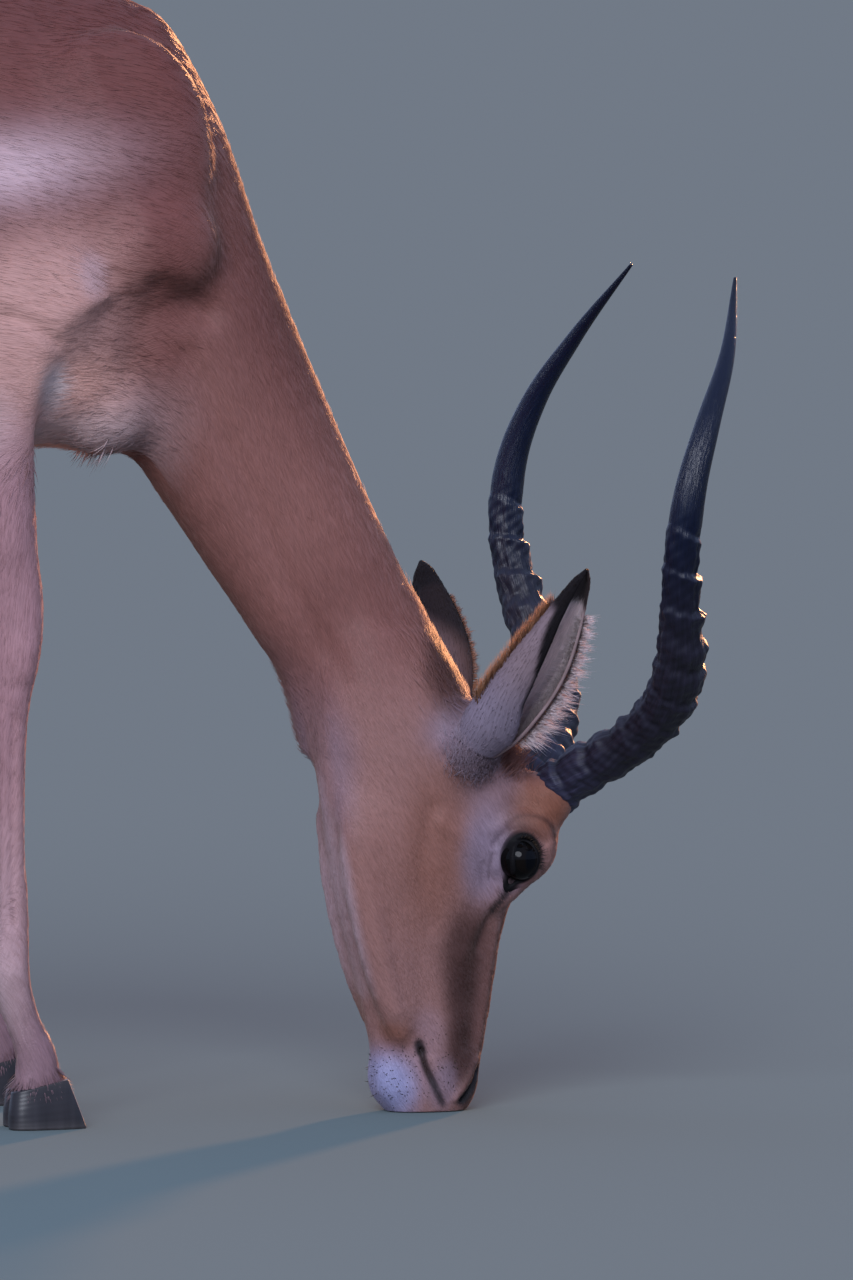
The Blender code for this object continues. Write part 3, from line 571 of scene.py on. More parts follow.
# %% Strokes of the body: height, width, line of x and z
BODY_STROKES = (
    ("groove ahead of the shoulder", -0.0042, 0.018, ((0.128, 0.79), (0.154, 0.71), (0.156, 0.63))),
    ("front edge of the shoulder", 0.0012, 0.016, ((0.096, 0.78), (0.124, 0.71), (0.13, 0.64))),
    ("pit under the shoulder point", -0.008, 0.013, ((0.132, 0.592), (0.092, 0.606))),
    ("point of the shoulder", 0.004, 0.026, ((0.04, 0.622), (0.07, 0.632))),
    ("spine of the blade", 0.0025, 0.011, ((0.03, 0.8), (0.062, 0.72), (0.08, 0.65))),
    ("behind the blade", -0.0045, 0.028, ((-0.05, 0.79), (-0.034, 0.7))),
    ("triceps", 0.004, 0.024, ((-0.075, 0.69), (-0.06, 0.6), (-0.07, 0.55))),
    ("behind the triceps", -0.006, 0.014, ((-0.118, 0.7), (-0.122, 0.6), (-0.104, 0.53))),
    ("elbow crease", -0.0028, 0.0055, ((-0.04, 0.595), (-0.01, 0.588), (0.014, 0.572))),
    ("front of the forearm", -0.0022, 0.009, ((0.01, 0.52), (0.022, 0.568), (0.05, 0.595))),
    ("point of the elbow", 0.005, 0.013, ((-0.086, 0.534), (-0.082, 0.52))),
    ("forearm muscle", 0.0025, 0.014, ((-0.024, 0.5), (-0.022, 0.43))),
    ("forearm groove", -0.002, 0.005, ((-0.046, 0.5), (-0.038, 0.4))),
    ("neck vein groove", -0.0032, 0.01, ((0.232, 0.32), (0.19, 0.4), (0.15, 0.49), (0.118, 0.56))),
    ("neck muscle", 0.0025, 0.02, ((0.262, 0.36), (0.215, 0.47), (0.176, 0.59))),
    ("flank hollow", -0.01, 0.045, ((-0.395, 0.735), (-0.425, 0.7))),
    ("point of the hip", 0.003, 0.024, ((-0.45, 0.795), (-0.475, 0.785))),
    ("stifle fold", 0.0055, 0.018, ((-0.395, 0.52), (-0.425, 0.565), (-0.465, 0.6))),
    ("thigh", 0.005, 0.045, ((-0.54, 0.74), (-0.545, 0.66))),
    ("hamstring groove", -0.0032, 0.01, ((-0.625, 0.8), (-0.652, 0.7), (-0.648, 0.6), (-0.625, 0.53))),
    ("fore cannon groove", -0.0018, 0.0035, ((-0.0205, 0.3), (-0.0205, 0.15))),
    ("fore tendon", 0.001, 0.004, ((-0.03, 0.3), (-0.03, 0.15))),
    ("knee bone", 0.0016, 0.009, ((-0.01, 0.35), (-0.01, 0.336))),
    ("under the knee bone", -0.0012, 0.006, ((-0.012, 0.32), (-0.02, 0.322))),
    ("fore fetlock", 0.0016, 0.009, ((-0.016, 0.116), (-0.022, 0.112))),
    ("fore pastern", -0.0012, 0.008, ((-0.006, 0.078), (-0.01, 0.074))),
)
# The same for the hind legs, before their swing.
HIND_STROKES = (
    ("hollow before the tendon", -0.006, 0.011, ((-0.64, 0.47), (-0.662, 0.435), (-0.686, 0.402))),
    ("point of the hock", 0.002, 0.01, ((-0.712, 0.392), (-0.706, 0.38))),
    ("hock bone", 0.0018, 0.01, ((-0.672, 0.368), (-0.68, 0.352))),
    ("hind cannon groove", -0.0018, 0.0035, ((-0.68, 0.3), (-0.664, 0.15))),
    ("hind tendon", 0.001, 0.004, ((-0.692, 0.3), (-0.673, 0.15))),
    ("hind fetlock", 0.0016, 0.009, ((-0.654, 0.116), (-0.66, 0.112))),
    ("hind pastern", -0.0012, 0.008, ((-0.635, 0.078), (-0.638, 0.074))),
    ("gaskin muscle", 0.003, 0.016, ((-0.585, 0.49), (-0.6, 0.445))),
)
# Strokes of the head: height, width, line of forward and up.
HEAD_STROKES = (
    ("front border of the cheek", -0.0018, 0.008, ((-0.07, -0.045), (-0.082, -0.01), (-0.074, 0.04))),
    ("edge of the jaw", 0.0015, 0.008, ((-0.128, 0.02), (-0.116, -0.05), (-0.1, -0.11))),
    ("above the jaw's edge", -0.0014, 0.007, ((-0.106, -0.04), (-0.092, -0.1))),
    ("face crest", 0.0018, 0.007, ((-0.026, -0.022), (-0.044, -0.07))),
    ("side of the nose", -0.0022, 0.01, ((-0.028, -0.062), (-0.031, -0.1), (-0.034, -0.132))),
    ("edge of the nose bone", 0.0012, 0.004, ((-0.014, -0.05), (-0.02, -0.1), (-0.025, -0.135))),
    ("tear groove", -0.0022, 0.0045, ((-0.018, -0.03), (-0.024, -0.046), (-0.029, -0.066))),
    ("brow", 0.0022, 0.0055, ((0.018, 0.014), (0.008, 0.028), (-0.01, 0.033), (-0.024, 0.024))),
    ("lid crease", -0.002, 0.0026, ((0.0115, 0.013), (-0.001, 0.022), (-0.015, 0.022), (-0.025, 0.012))),
    ("fold under the eye", -0.0014, 0.0024, ((-0.026, 0.004), (-0.027, -0.01), (-0.021, -0.0235))),
    ("second fold under the eye", -0.0008, 0.0024,
     ((-0.0335, -0.002), (-0.0325, -0.014), (-0.0265, -0.027))),
    ("temple", -0.003, 0.014, ((-0.032, 0.048), (-0.046, 0.04))),
    ("cheekbone", 0.0022, 0.008, ((-0.024, -0.004), (-0.046, 0.016), (-0.066, 0.03))),
    ("back of the jaw", -0.003, 0.012, ((-0.138, 0.07), (-0.15, 0.03))),
    ("muzzle side", 0.0015, 0.012, ((-0.052, -0.125), (-0.056, -0.15))),
    ("behind the mouth corner", -0.0012, 0.005, ((-0.083, -0.13), (-0.09, -0.145), (-0.088, -0.16))),
)
# Strokes of the muzzle in space: height, width, line of forward, left and up.
MUZZLE_STROKES = (
    ("nostril", -0.0085, 0.0032,
     ((-0.0285, 0.0135, -0.156), (-0.031, 0.0195, -0.164), (-0.0365, 0.0225, -0.172),
      (-0.042, 0.022, -0.178))),
    ("nostril wing", 0.002, 0.0032,
     ((-0.03, 0.0165, -0.149), (-0.037, 0.0235, -0.158), (-0.044, 0.0255, -0.169),
      (-0.049, 0.0245, -0.176))),
    ("mouth", -0.0034, 0.0013,
     ((-0.054, 0.004, -0.185), (-0.059, 0.018, -0.179), (-0.067, 0.0245, -0.164), (-0.0745, 0.0265, -0.147),
      (-0.076, 0.0265, -0.139))),
    ("upper lip", 0.0014, 0.0034,
     ((-0.047, 0.016, -0.183), (-0.057, 0.0235, -0.168), (-0.067, 0.0265, -0.147))),
    ("lower lip", 0.001, 0.003,
     ((-0.064, 0.015, -0.184), (-0.073, 0.024, -0.166), (-0.081, 0.0265, -0.148))),
    ("mouth corner", -0.0022, 0.003, ((-0.0765, 0.0265, -0.14), (-0.078, 0.0265, -0.135))),
    ("lip groove", -0.0014, 0.0013, ((-0.025, 0.0, -0.168), (-0.04, 0.0, -0.186))),
)

GROOVES = {name: (line, width) for name, _, width, line in MUZZLE_STROKES}


def path_distance(points, path):
    """Distance from each point to the nearest spot of a line of any dimension."""
    best = np.full(len(points), 9.0)
    for start, end in zip(path, path[1:]):
        run = end - start
        t = np.clip((points - start) @ run / (run @ run), 0.0, 1.0)
        best = np.minimum(best, np.linalg.norm(points - start - t[:, None] * run, axis=1))
    return best


def smooth_path(path, parts=4):
    """More points along the same line, rounded at its corners."""
    path = np.asarray(path, float)
    if len(path) < 3:
        return path
    padded = path if path.shape[1] > 2 else np.pad(path, ((0, 0), (0, 1)))
    return through(padded, parts * len(path))[:, : path.shape[1]]


def carved(flat_points, strokes):
    """Total height of all strokes over points: the sum of height * exp(-(distance / width)^2)."""
    total = np.zeros(len(flat_points))
    for _, height, width, line in strokes:
        line = smooth_path(line)
        reach = 3 * width
        near = ((flat_points > line.min(0) - reach) & (flat_points < line.max(0) + reach)).all(1)
        distance = path_distance(flat_points[near], line)
        total[near] += height * np.exp(-((distance / width) ** 2))
    return total


# %% Carve the skin
COAT_DEPTH = (0.0036, 0.001, 0.0016)  # body, head, lower legs
RIB_SPACING = 0.034
RIB_SLANT = 0.3
RIB_HEIGHT = 0.0006
LOWEST_SKIN = 0.0006  # the skin comes no nearer to the floor
FACE_TOP = 0.052  # the face below this height, in the head frame, gets the finer mesh


def front_share(points):
    """0 on the trunk, 1 on the neck and head: the side of the slanting neck cut."""
    along = (points[:, 0] - 0.105) * 0.954 - (points[:, 2] - 0.57) * 0.3
    return rises(along, -0.045, 0.055)


def head_share(points):
    """0 on the neck, 1 on the head, across the throat."""
    level = (points[:, 2] - 0.308) * 0.946 - (points[:, 0] - 0.27) * 0.324
    return falls(level, -0.04, 0.05) * rises(points[:, 0], 0.15, 0.22)


def leg_share(points):
    """0 on the trunk, 1 on a leg."""
    x, _, z = points.T
    hind = falls(z, 0.5, 0.64) * falls(x, -0.47, -0.4)
    return np.where(x < -0.25, hind, falls(z, 0.44, 0.54) * (x < 0.15)) * (1 - front_share(points))


def coat_depth(points):
    """Distance from the outline down to the skin: deep on the body, thin on face and legs."""
    on_head = head_share(points)
    body, head, leg = COAT_DEPTH
    return body + (head - body) * on_head + (leg - body) * leg_share(points) * (1 - on_head)


def carve_skin(mesh):
    """Sinks the skin by the coat's depth, then carves body, legs, head and muzzle."""
    points = numbers(mesh.vertices, "co", 3)
    normals = numbers(mesh.vertex_normals, "vector", 3)
    x, y, z = points.T
    on_head = head_share(points)
    sideways = np.abs(normals[:, 1])
    height = -coat_depth(points)
    height += carved(points[:, [0, 2]], BODY_STROKES) * sideways * (1 - on_head)
    straight = np.stack([x - hind_swing(z, np.where(y > 0, 1, -1)), z], 1)
    height += carved(straight, HIND_STROKES) * sideways
    ribs = np.sin(2 * math.pi * (x + RIB_SLANT * z) / RIB_SPACING)
    chest = falls(x, -0.17, -0.12) * rises(x, -0.4, -0.33)
    chest = chest * rises(z, 0.54, 0.62) * falls(z, 0.74, 0.8)
    height += RIB_HEIGHT * ribs * chest * sideways
    head_sideways = np.abs((normals @ TURN)[:, 1])
    height += carved(to_head(points)[:, [0, 2]], HEAD_STROKES) * head_sideways * on_head
    height += carved(folded(points), MUZZLE_STROKES) * on_head
    points = points + normals * height[:, None]
    points[:, 2] = np.maximum(points[:, 2], LOWEST_SKIN)
    move_points(mesh, points)


def refine(mesh, chosen):
    """Splits once every edge whose two ends are chosen."""

    def split(made):
        edges = [e for e in made.edges if chosen[e.verts[0].index] and chosen[e.verts[1].index]]
        bmesh.ops.subdivide_edges(made, edges=edges, cuts=1, use_grid_fill=True)

    reworked(mesh, split)


flesh_points = to_head(numbers(flesh.vertices, "co", 3))
refine(flesh, (flesh_points[:, 2] < FACE_TOP) & (flesh_points[:, 0] > -0.16))
carve_skin(flesh)
print("carved", len(flesh.vertices), "points")

# %% [markdown]
# ## Which way the hair lies
# Hair lies from the nose up the face, along the neck to the shoulders, back and down over the
# trunk, and down the legs. Each region has a direction of its own, and the regions blend where
# they meet. The same blend gives each point its grain coordinates: how far it is along the hair
# and across it. A fine noise stretched along the first of them looks like lying hair.

# %% Lie of the coat
# Region: hair direction, the joint where its grain coordinates start, the region they go on from.
LIE = {
    "trunk": ((-1.0, 0.0, 0.0), (0.13, 0.0, 0.69), None),
    "neck": ((-0.4, 0.0, 0.92), (0.13, 0.0, 0.69), None),
    "head": ((-0.5, 0.0, 0.86), (0.27, 0.0, 0.32), "neck"),
    "fore": ((-0.12, 0.0, -0.99), (-0.03, 0.0, 0.52), "trunk"),
    "hind": ((-0.22, 0.0, -0.98), (-0.56, 0.0, 0.6), "trunk"),
}
HAIR_RISE = (0.26, -0.33)  # slope of the trunk's hair, upwards going back: at the shoulder, at the flank
RISE_FROM, RISE_WIDTH = -0.3, 0.36


def region_shares(points):
    """Five columns that add up to 1: trunk, neck, head, fore leg, hind leg."""
    front, head, leg = front_share(points), head_share(points), leg_share(points)
    head = head * front
    behind = points[:, 0] < -0.25
    trunk = 1 - front - leg
    return np.stack([trunk, front - head, head, leg * ~behind, leg * behind], 1)


def lie_axes(region):
    """Along the hair, across it to the left, and outwards."""
    along = np.array(LIE[region][0])
    along = along / np.linalg.norm(along)
    left = np.array([0.0, 1.0, 0.0])
    return np.stack([along, left, np.cross(along, left)])


def rise_share(x):
    """1 at the shoulder and 0 at the flank, and its integral over x in metres."""
    t = (x - RISE_FROM) / RISE_WIDTH
    inside = np.clip(t, 0.0, 1.0)
    area = inside**3 - inside**4 / 2 + np.maximum(t - 1.0, 0.0)
    return inside * inside * (3 - 2 * inside), area * RISE_WIDTH


def hair_direction(points, normals):
    """The regions' directions blended, then laid into the skin's surface."""
    shares = region_shares(points)
    along = shares @ np.array([lie_axes(region)[0] for region in LIE])
    rise = HAIR_RISE[1] + (HAIR_RISE[0] - HAIR_RISE[1]) * rise_share(points[:, 0])[0]
    along[:, 2] += shares[:, 0] * rise
    along = along - (along * normals).sum(1)[:, None] * normals
    return along / np.maximum(np.linalg.norm(along, axis=1), 1e-6)[:, None]


def grain(points):
    """Metres along the hair, across it and outwards. Joints keep neighbouring regions in step."""
    shares = region_shares(points)
    total = np.zeros((len(points), 3))
    for column, (region, (_, joint, parent)) in enumerate(LIE.items()):
        joint = np.array(joint)
        local = (points - joint) @ lie_axes(region).T
        if parent:
            local = local + lie_axes(parent) @ (joint - np.array(LIE[parent][1]))
        if region == "trunk":
            x = points[:, 0]
            local[:, 2] -= HAIR_RISE[1] * x + (HAIR_RISE[0] - HAIR_RISE[1]) * rise_share(x)[1]
        total += shares[:, column : column + 1] * local
    return total


# %% [markdown]
# ## Markings
# An impala has three tones: a red-brown saddle, a paler tan on flanks and legs, and a white
# belly. The face is warm brown with a pale ring round the eye, a dark stripe from the tear corner
# down the side of the nose, a pale muzzle and a white chin. Each buttock has a black stripe, and
# the tail a black line. Some of the colour is painted light: a pale sheen on the shoulders and
# lower legs, shade under the ear, at the nape, in the lid's crease, down the side of the nose and
# inside nostrils and mouth, a chin as if in shade, sky reflected on the horns, and shade on the
# ears' medial sides. One function gives the colour at any place, and the skin and every tuft
# of the coat ask the same function, so they always agree.

# %% Colours (linear light)
SADDLE_TOP = (0.112, 0.034, 0.029)
SADDLE = (0.14, 0.044, 0.036)
FLANK = (0.465, 0.25, 0.212)
CHEST = (0.78, 0.41, 0.32)
WHITE = (0.6, 0.53, 0.52)
# A pale lavender: painted sheen on the shoulders, and the paler tone of the lower legs.
PALE_TONE_AND_PAINTED_SHEEN = (0.56, 0.385, 0.4)
NECK_BROWN = (0.225, 0.095, 0.078)
NECK_DARK = (0.128, 0.046, 0.038)
FACE_BROWN = (0.25, 0.124, 0.107)
FOREHEAD = (0.19, 0.07, 0.042)
BRIDGE = (0.075, 0.028, 0.022)
LEG_TAN = (0.325, 0.17, 0.178)
PALE_GREY = (0.202, 0.152, 0.198)
PALE_STRIP = (0.44, 0.315, 0.34)
# The white of the chin, painted darker and bluer as it looks in shade.
CHIN_WHITE_IN_PAINTED_SHADE = (0.262, 0.255, 0.4)
# Dark brown hair, also used for painted shade under the ear, at the nape, in the lid's crease and down the
# side of the nose.
DARK_HAIR_AND_SHADE = (0.032, 0.012, 0.01)
BLACK = (0.01, 0.008, 0.009)
BARE_SKIN = (0.026, 0.018, 0.019)
# Soft patches of the face: centre forward and up, reach forward and up, colour, strength.
FACE_PATCHES = (
    ("cheek", (-0.095, 0.0), (0.05, 0.07), FOREHEAD, 0.25),
    ("front of the cheek", (-0.072, 0.012), (0.024, 0.06), FOREHEAD, 0.45),
    ("angle of the jaw", (-0.152, 0.07), (0.024, 0.055), PALE_GREY, 0.5),
    ("temple", (-0.026, 0.06), (0.024, 0.03), PALE_GREY, 0.4),
    ("above the eye", (0.001, 0.038), (0.024, 0.013), DARK_HAIR_AND_SHADE, 0.42),
    # Painted shade under the bulb of the ear.
    ("under the ear", (-0.044, 0.066), (0.02, 0.015), DARK_HAIR_AND_SHADE, 0.45),
    ("foot of the ear", (-0.042, 0.096), (0.036, 0.024), PALE_GREY, 0.85),
    ("behind the eye", (-0.031, 0.004), (0.02, 0.038), PALE_GREY, 0.85),
    ("between lid and crease", (0.004, 0.0225), (0.018, 0.0085), DARK_HAIR_AND_SHADE, 0.7),
    ("forehead", (0.016, 0.04), (0.022, 0.024), FOREHEAD, 0.95),
    # Dark down the side of the nose: partly dark hair, partly painted shade in the hollow below the eye.
    ("dark of the nose side", (-0.04, -0.072), (0.023, 0.04), DARK_HAIR_AND_SHADE, 0.85),
    ("nose side", (-0.042, -0.11), (0.018, 0.03), DARK_HAIR_AND_SHADE, 0.75),
    ("lower nose side", (-0.043, -0.143), (0.017, 0.03), DARK_HAIR_AND_SHADE, 0.88),
    ("pale of the muzzle", (-0.072, -0.13), (0.014, 0.022), PALE_GREY, 0.3),
    ("lip", (-0.06, -0.166), (0.012, 0.02), PALE_GREY, 0.6),
    ("band above the chin", (-0.106, -0.13), (0.024, 0.012), FOREHEAD, 0.75),
)
# Lines of the face: width, colour, strength, path forward and up.
JAW_STRIP = ((-0.156, 0.06), (-0.1463, 0.012), (-0.136, -0.045), (-0.1228, -0.099))
TEAR_STREAK = ((-0.0105, -0.016), (-0.014, -0.024), (-0.0175, -0.031), (-0.0215, -0.038))
EYE_CREASE = ((-0.016, 0.0262), (-0.01, 0.031), (0.0, 0.033), (0.01, 0.0305), (0.017, 0.025), (0.0205, 0.015))
# The white chin: centre forward and up, reach forward and up.
CHIN_PLACE, CHIN_REACH = (-0.102, -0.169), (0.025, 0.029)

# Grooves that are dark inside, partly black bare skin and partly painted shade in the hollow: name, reach in
# widths of the groove, strength.
DARK_GROOVES = (("nostril", 1.9, 1.0), ("mouth", 2.4, 0.9), ("mouth corner", 1.4, 0.95))
# Distances from a groove's line count its depth for less, so that its floor is dark too.
GROOVE_VIEW = np.array([1.0, 0.35, 1.0])


def mixed(base, *layers):
    """Lays tones over a colour one after another: base * (1 - share) + tone * share."""
    base = np.asarray(base)
    for tone, share in layers:
        base = base + (np.array(tone) - base) * np.clip(share, 0.0, 1.0)[:, None]
    return base


def blob(flat_points, centre, reach):
    """1 at a centre, falling to 0 beyond its reach: exp(-(distance / reach)^4)."""
    scaled = (flat_points - np.array(centre)) / np.array(reach)
    return np.exp(-((scaled**2).sum(1) ** 2))


def nose_pad(head_points, width, height):
    """1 on the bare pad between the nostrils."""
    return blob(head_points[:, [1, 2]], (0.0, -0.17), (width, height)) * (head_points[:, 0] > -0.055)


def heel_oval(points):
    """1 in the middle of the black patch behind a hind fetlock, 0 at its oval edge."""
    x, y, z = points.T
    back = np.minimum(hind_swing(z, np.sign(y)) - 0.676 - x, 0.0)
    return (x < -0.5) * (1.0 - ((z - 0.16) / 0.032) ** 2 - (back / 0.016) ** 2)


def body_colour(points):
    """Saddle, flank, belly, buttock stripes, neck and legs, with painted sheen on the shoulders. Limits are
    metres of the body.
    """
    x, y, z = points.T
    flat, off = points[:, [0, 2]], np.abs(y)
    front = front_share(points)
    trunk = 1 - front
    wave = 0.012 * np.sin(9 * x + 2) + 0.008 * np.sin(23 * x)
    # A pale patch high on each shoulder, strong on the near side and faint on the far: painted sheen of sky
    # light.
    light = ((np.stack([x, z - 0.1 * x], 1) - [-0.025, 0.7]) / [0.08, 0.027]) ** 2
    belly = falls(z - wave, 0.505, 0.545) * falls(x, -0.09, 0.0)
    belly = belly * np.maximum(rises(x, -0.42, -0.36), falls(off, 0.05, 0.075))
    ventral = -(x - 0.13) * 0.92 - (z - 0.69) * 0.4  # across the neck, towards the throat
    throat = falls(z, 0.28, 0.37) * rises(ventral, 0.05, 0.11)
    armpit = falls(z, 0.525, 0.575) * rises(x, -0.03, 0.02) * trunk
    legs = falls(z, 0.46, 0.56) * trunk * (off > 0.03)
    rear = falls(x, -0.66, -0.61)
    stripe = np.exp(-(((off - 0.066) / 0.0085) ** 4)) * rear
    stripe = stripe * rises(z, 0.53, 0.58) * falls(z, 0.76, 0.8)
    return mixed(
        SADDLE,
        (SADDLE_TOP, rises(z, 0.735, 0.83)),
        (FLANK, falls(z - wave, 0.6, 0.68) * falls(x, 0.01, 0.11)),
        (PALE_TONE_AND_PAINTED_SHEEN, np.where(y < 0, 0.84, 0.25) * np.exp(-light.sum(1))),
        # A small second patch of painted sheen at the point of the near shoulder.
        (PALE_TONE_AND_PAINTED_SHEEN, 0.4 * blob(flat, (0.041, 0.621), (0.012, 0.016)) * (y < 0)),
        (WHITE, belly * rises(x, -0.66, -0.6)),
        (NECK_BROWN, front),
        (NECK_DARK, 0.8 * front * rises(z, 0.42, 0.6) * falls(ventral, 0.0, 0.07)),
        (PALE_GREY, 0.5 * throat * front),
        (NECK_DARK, 0.4 * front * blob(flat, (0.245, 0.355), (0.05, 0.075))),
        (CHEST, 0.85 * armpit * falls(x, 0.03, 0.1)),
        (WHITE, 0.7 * blob(flat, (0.014, 0.537), (0.013, 0.02)) * trunk),
        (LEG_TAN, legs * (1 - belly * (off < 0.06))),
        # The lower legs are paler, partly painted sheen of sky light in the same lavender tone.
        (PALE_TONE_AND_PAINTED_SHEEN, 0.9 * legs * falls(z, 0.06, 0.26)),
        (WHITE, 0.7 * legs * (falls(off, 0.062, 0.08) * rises(z, 0.3, 0.42))),
        (WHITE, 0.8 * legs * falls(z, 0.05, 0.15)),
        (WHITE, 0.9 * rear * falls(off, 0.046, 0.062) * rises(z, 0.5, 0.56)),
        (BLACK, 0.95 * stripe),
        (BLACK, rises(heel_oval(points), 0.15, 0.65)),
    )


def face_colour(points):
    """The face's patches, the ring and streak at the eye, nostrils, lips and nose."""
    head_points = folded(points)
    f, s, u = head_points.T
    flat = head_points[:, [0, 2]]
    side = rises(s, 0.01, 0.022)
    top = falls(s, 0.012, 0.022) * rises(f, -0.055, -0.035)
    ring = np.exp(-(((past_lid(head_points) - 0.006) / 0.006) ** 2)) * (s > 0.028)
    under = rises(-f - 0.128 + 0.22 * np.maximum(-u, 0.0), 0.004, 0.02) * falls(s, 0.015, 0.03)
    strip, streak, crease = (
        path_distance(flat, smooth_path(line)) for line in (JAW_STRIP, TEAR_STREAK, EYE_CREASE)
    )
    crease = np.exp(-((crease / (0.0018 + 0.03 * np.maximum(f, 0.0))) ** 2))
    layers = [(BRIDGE, 0.75 * top * falls(u, -0.045, -0.01))]
    for _, centre, reach, tone, strength in FACE_PATCHES:
        layers.append((tone, strength * blob(flat, centre, reach) * side))
    layers += [
        (PALE_GREY, 0.45 * ring * rises(-f - 0.6 * np.maximum(u, 0.0), -0.004, 0.008)),
        (PALE_STRIP, 0.9 * np.exp(-((strip / 0.0085) ** 4))),
        (PALE_GREY, 0.25 * under),
        (CHIN_WHITE_IN_PAINTED_SHADE, blob(flat, CHIN_PLACE, CHIN_REACH)),
        (BLACK, 0.92 * np.exp(-((streak / 0.0036) ** 2)) * (s > 0.02)),
        # Painted shade in the lid's crease above the eye.
        (DARK_HAIR_AND_SHADE, (0.45 + 20 * np.clip(f, 0.0, 0.02)) * crease * (s > 0.015)),
    ]
    for name, reach, strength in DARK_GROOVES:
        line, width = GROOVES[name]
        distance = path_distance(head_points * GROOVE_VIEW, smooth_path(line) * GROOVE_VIEW)
        layers.append((BLACK, strength * np.exp(-((distance / (reach * width)) ** 4))))
    return mixed(FACE_BROWN, *layers, (BARE_SKIN, 0.95 * nose_pad(head_points, 0.0115, 0.02)))


def lid_shade(head_points):
    """Dark bare skin close round the eye, wider behind and above it."""
    behind = rises(EYE_CENTRE[0] - head_points[:, 0], 0.002, 0.01)
    above = rises(head_points[:, 2] - EYE_CENTRE[2], 0.002, 0.012)
    reach = 0.0024 + 0.0022 * behind + 0.0024 * above
    near = np.exp(-((np.maximum(past_lid(head_points), 0.0) / reach) ** 2))
    return near * (np.abs(head_points[:, 1]) > 0.02)


def coat_colour(points):
    """The colour of skin and hair at any place of the body."""
    on_head = head_share(points)[:, None]
    return mixed(
        body_colour(points) * (1 - on_head) + face_colour(points) * on_head,
        # A dark patch at the nape behind the ear: partly dark hair, partly painted shade.
        (DARK_HAIR_AND_SHADE, 0.75 * blob(points[:, [0, 2]], (0.316, 0.321), (0.021, 0.036))),
        (BLACK, 0.9 * lid_shade(folded(points)) * on_head[:, 0]),
    )


# %% [markdown]
# ## The finish of skin and coat
# Close up, a short coat is thousands of fine strokes with paler tips. The colour comes from the
# markings, made a little lighter and darker by the stretched noise, and the same noise raises
# the strokes. Sheen gives the soft bright edge that fine hair has against the light.

# %% Shader groups
STROKE_TONE = 0.62  # how strongly the strokes lighten and darken the colour
COAT_MOTTLE = 0.22  # the same for the slow mottle


def feed(tree, node, inputs):
    """Gives inputs of a node plain values, or the sockets that feed them."""
    for label, value in inputs.items():
        if isinstance(value, bpy.types.NodeSocket):
            tree.links.new(value, node.inputs[label])
        else:
            node.inputs[label].default_value = value


def add_node(tree, kind, inputs, operation=None):
    """A shader node with its inputs."""
    node = tree.nodes.new(f"ShaderNode{kind}")
    if operation:
        node.operation = operation
    feed(tree, node, inputs)
    return node


def math_node(tree, operation, first, second):
    """The result of a Math node."""
    return add_node(tree, "Math", {0: first, 1: second}, operation).outputs[0]


def own_value(tree, name, output):
    """The values that a mesh carries at its points."""
    node = add_node(tree, "Attribute", {})
    node.attribute_name = name
    return node.outputs[output]


def hair_grain_group():
    """Stretched noise: a stroke value about 0, and a slow mottle about 0."""
    group = bpy.data.node_groups.new("hair_grain", "ShaderNodeTree")
    sockets = (
        ("Grain", "INPUT", "Vector", None),
        ("Stroke Width", "INPUT", "Float", 0.0012),
        ("Stroke Length", "INPUT", "Float", 0.014),
        ("Strokes", "OUTPUT", "Float", None),
        ("Mottle", "OUTPUT", "Float", None),
    )
    for label, way, kind, default in sockets:
        socket = group.interface.new_socket(label, in_out=way, socket_type=f"NodeSocket{kind}")
        if default is not None:
            socket.default_value = default
    given = group.nodes.new("NodeGroupInput").outputs
    across = math_node(group, "DIVIDE", 1.0, given["Stroke Width"])
    along = math_node(group, "DIVIDE", 1.0, given["Stroke Length"])
    scale = add_node(group, "CombineXYZ", {"X": along, "Y": across, "Z": across})
    stretched = add_node(group, "VectorMath", {0: given["Grain"], 1: scale.outputs[0]}, "MULTIPLY")
    strokes = add_node(group, "TexNoise", {"Scale": 1.0, "Detail": 2.0, "Vector": stretched.outputs[0]})
    mottle = add_node(group, "TexNoise", {"Scale": 34.0, "Detail": 3.0, "Vector": given["Grain"]})
    results = {
        "Strokes": math_node(group, "SUBTRACT", strokes.outputs["Fac"], 0.5),
        "Mottle": math_node(group, "SUBTRACT", mottle.outputs["Fac"], 0.5),
    }
    feed(group, group.nodes.new("NodeGroupOutput"), results)
    return group


HAIR_GRAIN = hair_grain_group()


def fur_values(roughness, sheen, gloss=0.2):
    """Plain values of a material of hair."""
    return {
        "Roughness": roughness,
        "Specular IOR Level": gloss,
        "Sheen Weight": sheen,
        "Sheen Roughness": 0.45,
        "Sheen Tint": (1.0, 0.66, 0.46, 1.0),
    }


def smooth_material(name, values):
    """The mesh's own colour and plain values, with its node tree and its shader."""
    made, tree, shader = new_material(name, values)
    feed(tree, shader, {"Base Color": own_value(tree, "coat_colour", "Color")})
    return made, tree, shader


